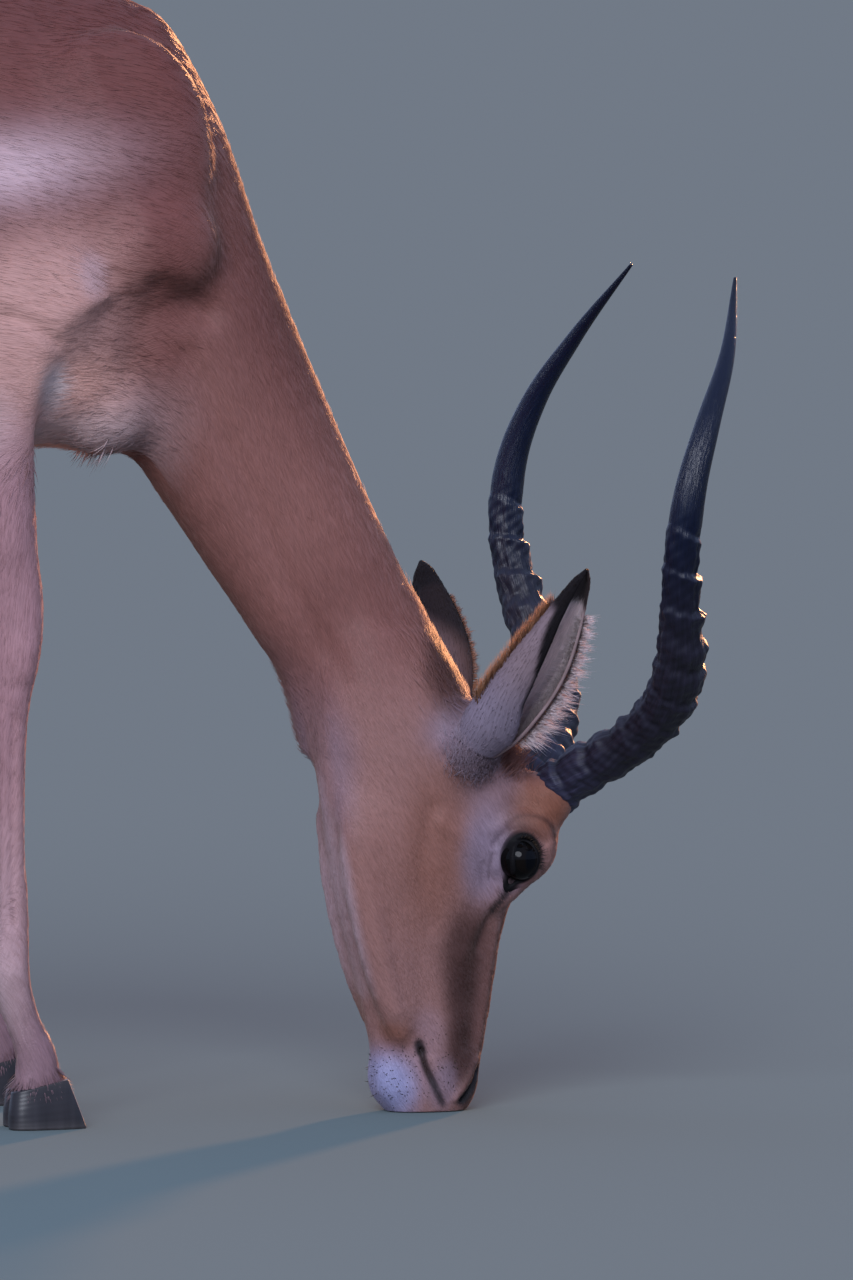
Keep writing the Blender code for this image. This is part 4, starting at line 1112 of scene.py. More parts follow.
def stroked_material(name, stroke, depth, values, tone=STROKE_TONE, mottle=0.0):
    """The mesh's own colour * (1 + strokes + mottle), raised by the strokes."""
    made, tree, shader = new_material(name, values)
    hair = add_node(tree, "Group", {})
    hair.node_tree = HAIR_GRAIN
    lie = own_value(tree, "grain", "Vector")
    feed(tree, hair, {"Stroke Width": stroke[0], "Stroke Length": stroke[1], "Grain": lie})
    waves = math_node(tree, "MULTIPLY", hair.outputs["Strokes"], tone)
    if mottle:
        waves = math_node(tree, "ADD", waves, math_node(tree, "MULTIPLY", hair.outputs["Mottle"], mottle))
    gain = math_node(tree, "ADD", waves, 1.0)
    own = own_value(tree, "coat_colour", "Color")
    shaded = add_node(tree, "VectorMath", {0: own, "Scale": gain}, "SCALE")
    bump = add_node(tree, "Bump", {"Distance": depth, "Height": hair.outputs["Strokes"]})
    feed(tree, shader, {"Base Color": shaded.outputs[0], "Normal": bump.outputs["Normal"]})
    return made, tree, shader


skin_values = fur_values(0.56, 0.12)
SKIN_FINISH = stroked_material(
    "short_coat_on_skin", (0.0009, 0.014), 0.0006, skin_values, mottle=COAT_MOTTLE
)[0]

# %% [markdown]
# ## The skin
# The eye's opening is pressed in behind the ball, where the lids will cover the edge. Then the
# mesh is thinned: flat stretches of the body lose most of their faces, and the face keeps its own.

# %% Finish the skin
SKIN_TRIANGLES = 186000
FACE_CARE = 1e-5  # how much dearer it is to thin the face than the body
EYE_RIM = 0.0035  # how far beyond the lid's edge the skin is pressed in
EYE_FLOOR = 0.0115

# The skin round the eyes before it is pressed in, for the lids to follow.
round_eyes = near_eye(folded(numbers(flesh.polygons, "center", 3)), 0.05)
eye_faces = [tuple(flesh.polygons[i].vertices) for i in np.flatnonzero(round_eyes)]
eye_skin = BVHTree.FromPolygons([Vector(p) for p in numbers(flesh.vertices, "co", 3)], eye_faces)


def press_eyes(points):
    """Moves the skin inside the lids' opening to a small ball deep behind the eye."""
    side = np.sign(to_head(points)[:, 1])
    head_points = folded(points)
    inside = (past_lid(head_points) < EYE_RIM) & near_eye(head_points, 0.04, 0.028)
    way = head_points[inside] - EYE_CENTRE
    way /= np.linalg.norm(way, axis=1)[:, None]
    head_points[inside] = EYE_CENTRE + way * EYE_FLOOR
    head_points[:, 1] *= side
    return to_body(head_points)


def thinned(mesh, triangles):
    """Weighted edge collapse down to a number of triangles."""
    obj = placed("thin", mesh)
    care = obj.vertex_groups.new(name="care")
    head_points = to_head(numbers(mesh.vertices, "co", 3))
    face = (head_points[:, 2] < FACE_TOP) & (head_points[:, 0] > -0.155)
    for chosen, weight in ((face, 0.5), (~face, 1.0)):
        care.add(np.flatnonzero(chosen).tolist(), weight, "REPLACE")
    modify(
        obj,
        "DECIMATE",
        vertex_group=care.name,
        vertex_group_factor=FACE_CARE,
        use_collapse_triangulate=True,
        ratio=triangles / (len(mesh.loops) - 2 * len(mesh.polygons)),
    )
    return applied(obj)


move_points(flesh, press_eyes(numbers(flesh.vertices, "co", 3)))
skin_mesh = thinned(flesh, SKIN_TRIANGLES)
skin_mesh.name = "skin"
skin_points = numbers(skin_mesh.vertices, "co", 3)
skin_normals = numbers(skin_mesh.vertex_normals, "vector", 3)
skin_faces = np.empty(len(skin_mesh.loops), np.int32)
skin_mesh.loops.foreach_get("vertex_index", skin_faces)
skin_faces = skin_faces.reshape(-1, 3)
flesh_nodes = ["trunk", "neck", "head"]
flesh_nodes += [f"leg_{part}_{word}" for part in ("front", "rear") for word, _ in SIDES]
add_piece(
    skin_mesh,
    SKIN_FINISH,
    "coat",
    flesh_nodes,
    coat_colour=coat_colour(skin_points),
    grain=grain(skin_points),
)
print("skin", len(skin_faces), "triangles")

# %% [markdown]
# ## Eyes and lids
# The ball is dark brown and wet, with a broad level pupil that is darker still. The lids are one
# ring round the opening: from behind the ball's face, over a rounded black edge, and out to
# where they sink under the skin. Rows near the edge follow the ball, rows further out follow
# the skin, which is found by looking at it from the side.

# %% Eyeballs
EYE_FINISH = smooth_material("wet_eye", {"Roughness": 0.08, "Specular IOR Level": 0.09})[0]
EYE_GRID = (48, 64)  # rings and points round each
EYE_TURN = math.radians(12)  # how far the pupil looks ahead
CORNEA_RISE, CORNEA_WIDTH = 0.03, 0.62  # swelling as a share of the radius, and its half-angle
PUPIL = (0.004, 0.0072)  # half-height and half-length, along the face
IRIS_REACH = 0.0105
PUPIL_BLACK = (0.0015, 0.0018, 0.003)
IRIS_BROWN = (0.004, 0.0028, 0.0024)
SCLERA = (0.0022, 0.002, 0.002)


def build_eye(word, side):
    """A ball with a slightly raised clear front; its pupil looks outwards and a little ahead."""
    polar = np.linspace(0.01, math.pi - 0.01, EYE_GRID[0])[:, None]
    angle = full_turn(EYE_GRID[1])[None]
    swell = 1 + CORNEA_RISE * np.exp(-((polar / CORNEA_WIDTH) ** 4)) + 0 * angle
    ball = np.stack(
        [np.sin(polar) * np.cos(angle), np.cos(polar) + 0 * angle, np.sin(polar) * np.sin(angle)], -1
    ) * (EYE_RADIUS - 0.0002) * swell[..., None]
    c, s = math.cos(EYE_TURN), math.sin(EYE_TURN)
    ahead = np.array([[c, s, 0], [-s, c, 0], [0, 0, 1]])
    points, quads, tris = shell(ball @ ahead.T + EYE_CENTRE)
    local = (points - EYE_CENTRE) @ ahead
    away = np.hypot(local[:, 0] / PUPIL[0], local[:, 2] / PUPIL[1])
    iris = np.hypot(local[:, 0], local[:, 2]) / IRIS_REACH
    colour = mixed(
        SCLERA,
        (IRIS_BROWN, falls(iris, 0.95, 1.05)),
        (PUPIL_BLACK, falls(away, 0.95, 1.25) * (local[:, 1] > 0)),
    )
    points[:, 1] *= side
    mesh = closed_mesh(f"eyeball_{word}", to_body(points), quads, tris)
    add_piece(mesh, EYE_FINISH, "eye", [f"eye_{word}"], coat_colour=colour)


for word, side in SIDES:
    build_eye(word, side)

# %% Lids
LID_ROWS = (  # distance outside the lid's edge, height over the ball, height over the skin
    (-0.0034, -0.0014, -0.003),
    (-0.0014, -0.0002, -0.0026),
    (-0.0003, 0.0004, -0.0016),
    (0.0005, 0.0009, -0.0006),
    (0.0014, 0.0012, 0.0001),
    (0.0026, 0.0014, 0.0005),
    (0.0042, 0.0015, 0.0007),
    (0.006, 0.0012, 0.0004),
    (0.0078, 0.0008, -0.0004),
    (0.0094, 0.0, -0.0016),
)
LID_AROUND = 120
LID_THICKNESS = 0.0022
LOOK_FROM = 0.12  # distance from the middle plane
WET_BLACK = (0.004, 0.0035, 0.004)


def wet_material(name, values):
    """Bare dark skin: the piece's own colours, a fine grain and a wet gloss."""
    made, tree, shader = smooth_material(name, values)
    place = add_node(tree, "TexCoord", {}).outputs["Object"]
    pores = add_node(tree, "TexNoise", {"Scale": 900.0, "Vector": place})
    bump = add_node(tree, "Bump", {"Distance": 0.0004, "Height": pores.outputs["Fac"]})
    feed(tree, shader, {"Normal": bump.outputs["Normal"]})
    return made


LID_FINISH = wet_material("lid_skin", {"Roughness": 0.6, "Specular IOR Level": 0.09})


def skin_height(across, along, side):
    """How far out the skin lies from the head's middle plane, seen from the side."""
    heights = np.empty(across.shape)
    inwards = Vector(TURN @ np.array([0.0, -side, 0.0]))
    for index in np.ndindex(across.shape):
        start = to_body(np.array([across[index], side * LOOK_FROM, along[index]]))
        hit = eye_skin.ray_cast(Vector(start), inwards, LOOK_FROM)[0]
        heights[index] = abs(to_head(np.array(hit))[1]) if hit else EYE_CENTRE[1]
    return heights


def lid_spots(angle, reach):
    """Forward and up coordinates of places round the eye."""
    return EYE_CENTRE[0] + reach * np.cos(angle), EYE_CENTRE[2] + reach * np.sin(angle)


def build_lid(word, side):
    """The ring of both lids, as rows round the opening, closed underneath."""
    angle = full_turn(LID_AROUND)
    off, over_ball, over_skin = np.array(LID_ROWS).T
    reach = opening_radius(angle)[None] + off[:, None]
    across, along = lid_spots(angle, reach)
    inside = np.sqrt(np.maximum((EYE_RADIUS + over_ball[:, None]) ** 2 - reach**2, 1e-8))
    on_skin = skin_height(across, along, side) + over_skin[:, None]
    share = rises(off[:, None] + 0 * reach, 0.0004, 0.005)
    share = np.maximum(share, rises(reach, 0.8 * EYE_RADIUS, 0.98 * EYE_RADIUS))
    out = (EYE_CENTRE[1] + inside) * (1 - share) + on_skin * share
    top = np.stack([across, out, along], -1)
    under = top[::-1].copy()
    under[:, :, 1] -= LID_THICKNESS
    loop = np.concatenate([top, under[1:-1]]).transpose(1, 0, 2)
    rings, around = loop.shape[:2]
    points = loop.reshape(-1, 3)
    quads = grid_faces(rings + 1, around) % len(points)
    points[:, 1] *= side
    body_points = to_body(points)
    past = np.tile(np.concatenate([off, off[::-1][1:-1]]), LID_AROUND)
    turn = np.repeat(angle, around)
    # The bare edge is wider behind the eye and above it, and all of the tear corner is bare.
    rim = past - 0.0022 * np.maximum(-np.cos(turn), 0.0) - 0.002 * np.maximum(np.sin(turn), 0.0)
    tear = np.exp(-((from_tear(turn) / (2 * TEAR_SPREAD)) ** 4))
    dark = np.maximum(1 - rises(rim, 0.0022, 0.005), tear)
    mesh = closed_mesh(f"lids_{word}", body_points, quads)
    add_piece(mesh, LID_FINISH, "face_coat", coat_colour=mixed(coat_colour(body_points), (WET_BLACK, dark)))


for word, side in SIDES:
    build_lid(word, side)

# %% [markdown]
# ## Horns
# A ram's horns sweep out, back and up like a lyre. Strong rings circle the lower part, sharpest
# in front, with fine grooves along the horn between them, and the tips are smooth and glossy.
# The horn is a tube along a smooth path. Its radius is the nominal one less a furrow between
# rings, so it hardly stands outside the solid that it replaces.

# %% Horn shape
# Right horn in the head's frame: forward, sideways, up; then the half-thickness there.
HORN = (
    (0.014, 0.024, 0.034, 0.0205),
    (0.027, 0.029, 0.05, 0.0208),
    (0.043, 0.047, 0.066, 0.0203),
    (0.06, 0.074, 0.082, 0.0198),
    (0.074, 0.102, 0.102, 0.0198),
    (0.08, 0.128, 0.124, 0.02),
    (0.078, 0.153, 0.153, 0.019),
    (0.071, 0.173, 0.192, 0.0163),
    (0.067, 0.185, 0.236, 0.0134),
    (0.073, 0.187, 0.28, 0.0116),
    (0.089, 0.179, 0.326, 0.0092),
    (0.111, 0.158, 0.37, 0.0062),
    (0.138, 0.107, 0.428, 0.0016),
)
HORN_GRID = (420, 72)  # rings and points round each
HORN_RINGS = 12
RINGED_SHARE = 0.62  # of the horn's length from its base
RING_HEIGHT = 0.0012  # how far a crest stands over the nominal horn, on its strongest side
FURROW_DEPTH = 0.0062
GROOVE_DEPTH = 0.00022
LUMP_HEIGHT = 0.0008
HORN_INSET = 0.0004
HORN_FLAT, HORN_DEEP = 0.94, 1.04  # width and depth of the section, as shares of the radius
HORN_LENGTH, HORN_GIRTH = 0.5, 0.018  # metres along the horn, and its middle radius, for the grain


def tube_grid(path, flat, deep, facing, around):
    """Rings square to a path, `flat` wide and `deep` towards `facing`."""
    tangent = np.gradient(path, axis=0)
    tangent /= np.linalg.norm(tangent, axis=1)[:, None]
    facing = np.broadcast_to(np.asarray(facing, float), path.shape)
    out = facing - (facing * tangent).sum(1)[:, None] * tangent
    out /= np.linalg.norm(out, axis=1)[:, None]
    wide = np.cross(out, tangent)
    angle = full_turn(around)[None, :, None]
    return (
        path[:, None]
        + out[:, None] * np.sin(angle) * deep[..., None]
        + wide[:, None] * np.cos(angle) * flat[..., None]
    )


def ring_profile(share):
    """0 on a ring's crest, 1 just above it, then falling evenly to the next crest: a saw tooth."""
    turn = HORN_RINGS * share / RINGED_SHARE
    turn = (turn + 0.1 * np.sin(5 * turn)) % 1.0
    return (1 - turn) * rises(turn, 0.0, 0.32)


def horn_surface(side):
    """The horn's grid, and how deep each of its points lies in a furrow or groove."""
    stations = through(HORN, HORN_GRID[0])
    path = stations[:, :3] * np.array([1.0, side, 1.0])
    share = np.linspace(0.0, 1.0, HORN_GRID[0])[:, None]
    angle = full_turn(HORN_GRID[1])[None]
    fade = np.clip((RINGED_SHARE - share) / 0.1, 0.0, 1.0)
    # The rings stand out most on the upper side near the base, and in front further along.
    strongest = math.pi * (1 - 0.5 * rises(share, 0.14, 0.32))
    strongest = strongest if side < 0 else math.pi - strongest
    strength = 0.5 + 0.5 * np.cos(angle - strongest)
    furrow = ring_profile(share + 0.009 * np.sin(angle)) * fade * (0.32 + 0.68 * strength)
    grooves = (0.5 + 0.5 * np.sin(23 * angle + 3 * np.sin(40 * share))) * (0.25 + 0.75 * fade)
    grooves = grooves + 0.5 * (0.5 + 0.5 * np.sin(57 * angle + 9 * share)) * fade
    lumps = np.sin(7 * angle + 60 * share) * np.sin(90 * share - 3 * angle)
    lumps = (lumps + 0.6 * np.sin(11 * angle - 150 * share) * np.sin(210 * share + 5 * angle)) * fade
    radius = stations[:, 3:4] + RING_HEIGHT * fade * strength
    radius = radius - FURROW_DEPTH * furrow - GROOVE_DEPTH * grooves + LUMP_HEIGHT * lumps
    radius = np.maximum(radius - HORN_INSET, 0.0006)
    grid = tube_grid(path, radius * HORN_FLAT, radius * HORN_DEEP, (1.0, 0.0, 0.2), HORN_GRID[1])
    return grid, furrow, grooves, share + 0 * angle


# %% Horn finish
# Dark horn tones. The blue cast in all four, strongest at the tip and the base, is painted reflection of the
# sky.
HORN_CREST = (0.014, 0.012, 0.022)
HORN_FURROW = (0.004, 0.003, 0.006)
HORN_TIP_WITH_PAINTED_SKY = (0.001, 0.003, 0.014)
HORN_BASE_WITH_PAINTED_SKY = (0.034, 0.032, 0.062)


def horn_material(name, stroke, depth):
    """Dark horn: the piece's own tones, long fibres, and gloss that grows with the own value."""
    made, tree, shader = stroked_material(name, stroke, depth, {"Specular IOR Level": 0.28}, tone=1.3)
    worn = math_node(tree, "MULTIPLY", own_value(tree, "gloss", "Fac"), 0.28)
    feed(tree, shader, {"Roughness": math_node(tree, "SUBTRACT", 0.5, worn)})
    return made


def capped(values):
    """Values of a grid, with the first and last rows' means for the two cap points."""
    flat = values.reshape(-1, values.shape[-1])
    return np.concatenate([flat, values[0].mean(0)[None], values[-1].mean(0)[None]])


HORN_FINISH = horn_material("ringed_horn", (0.0009, 0.016), 0.0006)


def build_horn(word, side):
    """One horn with its tones, grain and gloss."""
    grid, furrow, grooves, share = horn_surface(side)
    points, *faces = shell(grid)
    flat_share = share.ravel()
    # Furrows and grooves are darker than the crests: partly painted shade.
    colour = mixed(
        HORN_CREST,
        (HORN_BASE_WITH_PAINTED_SKY, 1 - rises(flat_share, 0.04, 0.2)),
        (HORN_FURROW, 0.8 * furrow.ravel() + 0.3 * grooves.ravel()),
        (HORN_TIP_WITH_PAINTED_SKY, rises(flat_share, 0.38, 0.62)),
    )
    turn = full_turn(share.shape[1]) + 0 * share
    lie = [HORN_LENGTH * share, HORN_GIRTH * np.cos(turn), HORN_GIRTH * np.sin(turn)]
    add_piece(
        closed_mesh(f"horn_sheath_{word}", to_body(points), *faces),
        HORN_FINISH,
        "horn",
        [f"horn_{word}"],
        coat_colour=capped(colour.reshape(*share.shape, 3)),
        grain=capped(np.stack(lie, -1)),
        gloss=capped(rises(share, 0.3, 0.7)[..., None]),
    )


for word, side in SIDES:
    build_horn(word, side)

# %% [markdown]
# ## Ears
# An ear is a thin leaf rolled into a scoop: a closed tube at its root, open along its face above
# that, and pointed at the tip. Its section is an arc that leaves an opening, with the inner wall
# a little inside the outer one, so the leaf is one closed solid.

# %% Ear shape
EAR_FOOT = (-0.039, 0.044, 0.088)  # left ear, head frame
# Side: tip of the ear, and the way that its opening faces, in the head frame.
EAR_WAYS = {
    -1: ((0.014, -0.13, 0.219), (0.41, -0.68, -0.61)),
    1: ((-0.02, 0.131, 0.209), (0.91, 0.24, -0.33)),
}
# Share of the ear's length, half-width, half-thickness.
EAR = (
    (0.0, 0.0205, 0.0195),
    (0.12, 0.0265, 0.0235),
    (0.28, 0.03, 0.0225),
    (0.48, 0.029, 0.02),
    (0.68, 0.0225, 0.015),
    (0.86, 0.015, 0.0085),
    (0.95, 0.0092, 0.0052),
    (1.0, 0.003, 0.0024),
)
EAR_BOW = 0.006  # how far the middle of the ear bows towards its opening
EAR_WALL = 0.0018  # thickness of the leaf
EAR_INSET = 0.0012  # how far the leaf lies inside the outline
EAR_LEAST = 0.0006  # least half-width of the hollow
# Share of the length, and half the angle that the opening takes of the section.
EAR_OPENING = (
    (0.0, 0.03), (0.12, 0.06), (0.22, 0.24), (0.34, 0.5),
    (0.5, 0.62), (0.75, 0.76), (0.92, 0.72), (1.0, 0.45),
)
EAR_FILL = 0.6  # how far hair and skin fill the hollow of the leaf at its middle
EAR_ROWS, EAR_COLUMNS = 90, 44
EAR_SIZE = (0.15, 0.1)  # metres along and across, for the grain


def ear_surface(side):
    """Outer and inner grids of the leaf: path + out * deep * cos + wide * width * sin."""
    foot = mirrored(EAR_FOOT, side)
    tip, faces = np.array(EAR_WAYS[side])
    along = (tip - foot) / np.linalg.norm(tip - foot)
    out = faces - (faces @ along) * along
    out /= np.linalg.norm(out)
    wide = np.cross(out, along)
    share, width, deep = through(EAR, EAR_ROWS).T
    width, deep = width - EAR_INSET, deep - EAR_INSET
    path = foot + share[:, None] * (tip - foot) + out * (EAR_BOW * np.sin(math.pi * share))[:, None]
    half = np.interp(share, *np.array(EAR_OPENING).T)[:, None]
    across = np.linspace(0.0, 1.0, EAR_COLUMNS)[None]
    phi = half + (2 * math.pi - 2 * half) * across
    flare = 1 + 0.1 * np.cos(2 * math.pi * across) * np.sin(math.pi * share)[:, None]
    grids = []
    for wall, filled in ((0.0, 0.0), (EAR_WALL, EAR_FILL)):
        w = np.maximum(width[:, None] - wall, EAR_LEAST)
        d = np.maximum(deep[:, None] - wall, EAR_LEAST) * (1 - filled * np.sin(math.pi * across))
        grids.append(
            path[:, None]
            + out * (d * np.cos(phi) * flare)[..., None]
            + wide * (w * np.sin(phi) * flare)[..., None]
        )
    return *grids, share[:, None] + 0 * phi, across + 0 * phi


EAR_BACK = (0.2, 0.14, 0.15)
EAR_ROOT = (0.215, 0.172, 0.215)
EAR_PALE = (0.86, 0.71, 0.71)
EAR_PINK = (0.8, 0.62, 0.6)
EAR_RIM = (0.3, 0.205, 0.2)
EAR_FRINGE = (0.38, 0.18, 0.095)
# Dark brown for the faint streaks inside the ear, and painted shade on the medial side of its back.
EAR_STREAK_AND_SHADE = (0.1, 0.05, 0.04)


def ear_colour(share, across, inner, side):
    """Grey-fawn back with a black tip and near rim, painted shade on its medial side; pale inside with faint
    dark streaks.
    """
    at = share.ravel()
    over = across.ravel() if side < 0 else 1 - across.ravel()  # 0 at the outer rim, 1 at the inner
    edge = np.minimum(over, 1 - over)
    if inner:
        streaks = np.exp(-((np.abs((over * 4) % 1 - 0.5) / (0.17 - 0.09 * at)) ** 4))
        streaks = streaks * (edge > 0.1) * rises(at, 0.16, 0.34)
        tone = EAR_PINK
        layers = [
            (EAR_PALE, rises(at, 0.1, 0.42) * (0.45 + 0.55 * falls(edge, 0.1, 0.35))),
            (EAR_STREAK_AND_SHADE, 0.3 * streaks * falls(at, 0.66, 0.88)),
        ]
    else:
        # The medial side of the back is darker and its black comes further down: painted shade on the side
        # turned from the light.
        medial = rises(over, 0.3, 0.9)
        wedge = 0.012 + 0.135 * rises(at, 0.44, 0.8)
        tone = EAR_BACK
        layers = [
            (EAR_ROOT, 1 - rises(at, 0.2, 0.55)),
            (EAR_STREAK_AND_SHADE, medial * rises(at, 0.05, 0.2)),
            (BLACK, 0.93 * rises(at - (0.76 - 0.5 * medial), 0.0, 0.07 + 0.22 * medial)),
            (BLACK, (1 - rises(over / wedge, 0.6, 1.1)) * rises(at, 0.26, 0.36)),
        ]
    rim = (1 - rises(edge, 0.01, 0.03)) * rises(at, 0.3, 0.45)
    colour = mixed(
        tone,
        *layers,
        (EAR_RIM, 0.9 * rises(over, 0.93, 0.97)),
        (BLACK, 0.7 * rim * (over < 0.5)),
        (BLACK, 0.93 * rises(at, 0.79, 0.84)),
    )
    return colour.reshape(*share.shape, 3)


ear_values = fur_values(0.64, 0.02, 0.05)
EAR_FINISH = stroked_material("ear_leaf", (0.001, 0.01), 0.0005, ear_values, mottle=COAT_MOTTLE)[0]
ears = {}
for word, side in SIDES:
    outer, inner, share, across = ear_surface(side)
    tones = [ear_colour(share, across, layer, side) for layer in (False, True)]
    lie = np.stack([share * EAR_SIZE[0], across * EAR_SIZE[1], 0 * share], -1)
    points, *faces = shell(np.concatenate([outer, inner[:, ::-1]], 1))
    add_piece(
        closed_mesh(f"ear_leaf_{word}", to_body(points), *faces),
        EAR_FINISH,
        "ear",
        [f"ear_{word}"],
        coat_colour=capped(np.concatenate([tones[0], tones[1][:, ::-1]], 1)),
        grain=capped(np.concatenate([lie, lie[:, ::-1]], 1)),
    )
    ears[word] = ((to_body(outer), to_body(inner)), tones, share, across)

# %% [markdown]
# ## Hooves
# Each foot ends in two claws of dark horn, pointed in front and flat below. The horn grows down
# in faint level rings. A claw is a loft from the slanting top edge to the flat sole.

# %% Hooves
HOOF_HEIGHT = 0.036
HEEL_HEIGHT = 0.027
CORONET_TOE, CORONET_HEEL = 0.0205, -0.0215
CLEFT = 0.0014  # half the gap between the two claws
# Rings of a claw: toe x and z, heel x and z, half-width, egg, distance from the foot's middle.
CLAW = (
    (CORONET_TOE, HOOF_HEIGHT, CORONET_HEEL, HEEL_HEIGHT, 0.009, -0.1, 0.0104),
    (0.027, 0.019, -0.0235, 0.013, 0.01, -0.25, 0.0114),
    (0.034, 0.0, -0.0235, 0.0, 0.0104, -0.42, 0.012),
)
CLAW_GRID = (60, 56)  # rings and points round each
HOOF_DARK = (0.022, 0.019, 0.021)
HOOF_WORN = (0.05, 0.043, 0.042)
RING_STEP = 0.0037
RING_DEPTH = 0.00003
WORN_EDGE = 0.0006
HOOF_GRAIN = (0.6, 0.5, 0.5)
HOOF_FINISH = horn_material("hoof_horn", (0.0042, 0.2), 0.0001)


def claw_grid(hoof_x, middle, toe_side):
    """Rings from the hair line down to the sole, with faint growth rings and a worn edge."""
    toe_x, toe_z, heel_x, heel_z, width, egg, off = through(CLAW, CLAW_GRID[0]).T
    zero = 0 * off
    level = (toe_z + heel_z) / 2
    shrink = RING_DEPTH * (0.5 + 0.5 * np.cos(2 * math.pi * level / RING_STEP + 2.0 * np.sin(240 * level)))
    shrink = shrink + WORN_EDGE * falls(level, 0.0, 0.0014)
    centres = np.stack([(toe_x + heel_x) / 2 + hoof_x, middle + toe_side * off, level], 1)
    ups = np.stack([(toe_x - heel_x) / 2 - shrink, zero, (toe_z - heel_z) / 2], 1)
    sides = np.stack([zero, np.minimum(width, off - CLEFT) - shrink, zero], 1)
    return ring_grid(centres, ups, sides, egg, CLAW_GRID[1], 0.75)


def feet(side):
    """Place in names, region of the coat, x and track of the fore and the hind foot."""
    hind_x = HIND_HOOF_X - side * HIND_STAGGER
    return ("front", "fore", 0.0, FORE_TRACK), ("rear", "hind", hind_x, HIND_TRACK)


for word, side in SIDES:
    for part, _, hoof_x, track in feet(side):
        for place, toe_side in (("outer", side), ("inner", -side)):
            points, *faces = shell(claw_grid(hoof_x, side * track, toe_side))
            height = points[:, 2]
            worn = 0.7 * falls(height, 0.0, 0.008) + 0.5 * rises(height, 0.026, 0.036)
            add_piece(
                closed_mesh(f"claw_{part}_{word}_{place}", points, *faces),
                HOOF_FINISH,
                "hoof",
                [f"hoof_{part}_{word}_{place}"],
                coat_colour=mixed(HOOF_DARK, (HOOF_WORN, worn)),
                grain=points[:, [2, 0, 1]] * HOOF_GRAIN,
                gloss=0.75 * rises(height, 0.002, 0.012),
            )

# %% [markdown]
# ## Tail
# The tail hangs down between the thighs: a thin dock under long hair, with a black line on top
# and a white brush below. The dock is a loft inside the solid, and its hair comes with the coat.

# %% Tail dock
DOCK_INSET = 0.0075
dock = side_view_grid(TAIL, 60, 24)
dock_middle = dock.mean(1, keepdims=True)
dock_reach = np.linalg.norm(dock - dock_middle, axis=2, keepdims=True)
dock = dock_middle + (dock - dock_middle) * np.maximum(1 - DOCK_INSET / np.maximum(dock_reach, 1e-5), 0.25)


def tail_colour(points):
    """Black line down the back, tan sides, white brush below and in front."""
    x, y, z = points.T
    middle_x = np.interp(-z, [-0.79, -0.72, -0.5], [-0.7, -0.726, -0.732])
    behind = falls(x - middle_x, -0.008, 0.004)
    return mixed(
        FLANK,
        (WHITE, np.maximum(1 - behind, falls(z, 0.6, 0.7))),
        (BLACK, 0.95 * (behind * np.exp(-((y / 0.007) ** 4)))),
    )


points, *faces = shell(dock)
tail_mesh = closed_mesh("tail_dock", points, *faces)
values = {"coat_colour": tail_colour(points), "grain": points[:, [2, 1, 0]]}
add_piece(tail_mesh, SKIN_FINISH, "tail_brush", ["tail"], **values)

# %% [markdown]
# ## The coat
# Real hair is far too fine to model one by one, so each tuft stands for a small lock: a thin
# spike with three sides, seven points and ten triangles, closed at its root. It starts just
# under the skin, lies along the body and ends free, a little above it. Roots are drawn at random
# over the skin, as many for an area as its share asks, with a fixed seed, so that each run gives
# the same coat.

# %% Tufts
rng = np.random.default_rng(20)
coat_skin = BVHTree.FromPolygons([Vector(p) for p in skin_points], [tuple(f) for f in skin_faces.tolist()])
TUFT_FACES = np.array([
    (0, 1, 2), (0, 3, 4), (0, 4, 1), (0, 2, 5), (0, 5, 3),
    (1, 4, 5), (1, 5, 2), (3, 6, 4), (3, 5, 6), (4, 6, 5),
])
TUFT_SPOTS = np.array([(-0.5, 0.0), (0.5, 0.0), (0.0, 0.1), (-0.4, 0.5), (0.4, 0.5), (0.0, 0.6), (0.0, 1.0)])
TUFT_LEAN = 0.22  # how far a tuft's edges and tip are lit to their own side
TUFT_PATCH = 0.003  # how far a tuft's own patch reaches on the unwrap
TUFT_SHADES = np.array([0.88, 0.88, 0.92, 0.98, 0.98, 1.01, 1.1])
TUFT_ROOT = 0.0006  # depth of the root under the skin
TUFT_FLOOR = 0.0003  # least height of a tuft over the ground
MOST_TUFTS = 19900  # in one piece
TUFT_FINISH = smooth_material("coat_tufts", fur_values(0.56, 0.12))[0]
EAR_TUFT_FINISH = smooth_material("ear_tufts", fur_values(0.64, 0.03, 0.05))[0]


def unit(vectors):
    """Vectors with length 1."""
    return vectors / np.maximum(np.linalg.norm(vectors, axis=1, keepdims=True), 1e-9)


def spread(low, reach, count):
    """Random numbers: low + reach * a share from 0 to 1."""
    return low + reach * rng.random(count)


def turned(along, normals, angle):
    """Directions turned about the normals by an angle each."""
    side = np.cross(normals, along)
    return unit(along * np.cos(angle)[:, None] + side * np.sin(angle)[:, None])


def strayed(along, normals, degrees):
    """Directions turned at random about the normals."""
    return turned(along, normals, np.radians(degrees) * rng.normal(size=len(along)))


def nearest_skin(points):
    """The place on the coat's skin nearest to each point, and the skin's normal there."""
    found = [coat_skin.find_nearest(Vector(p)) for p in points]
    return np.array([f[0] for f in found]), np.array([f[1] for f in found])


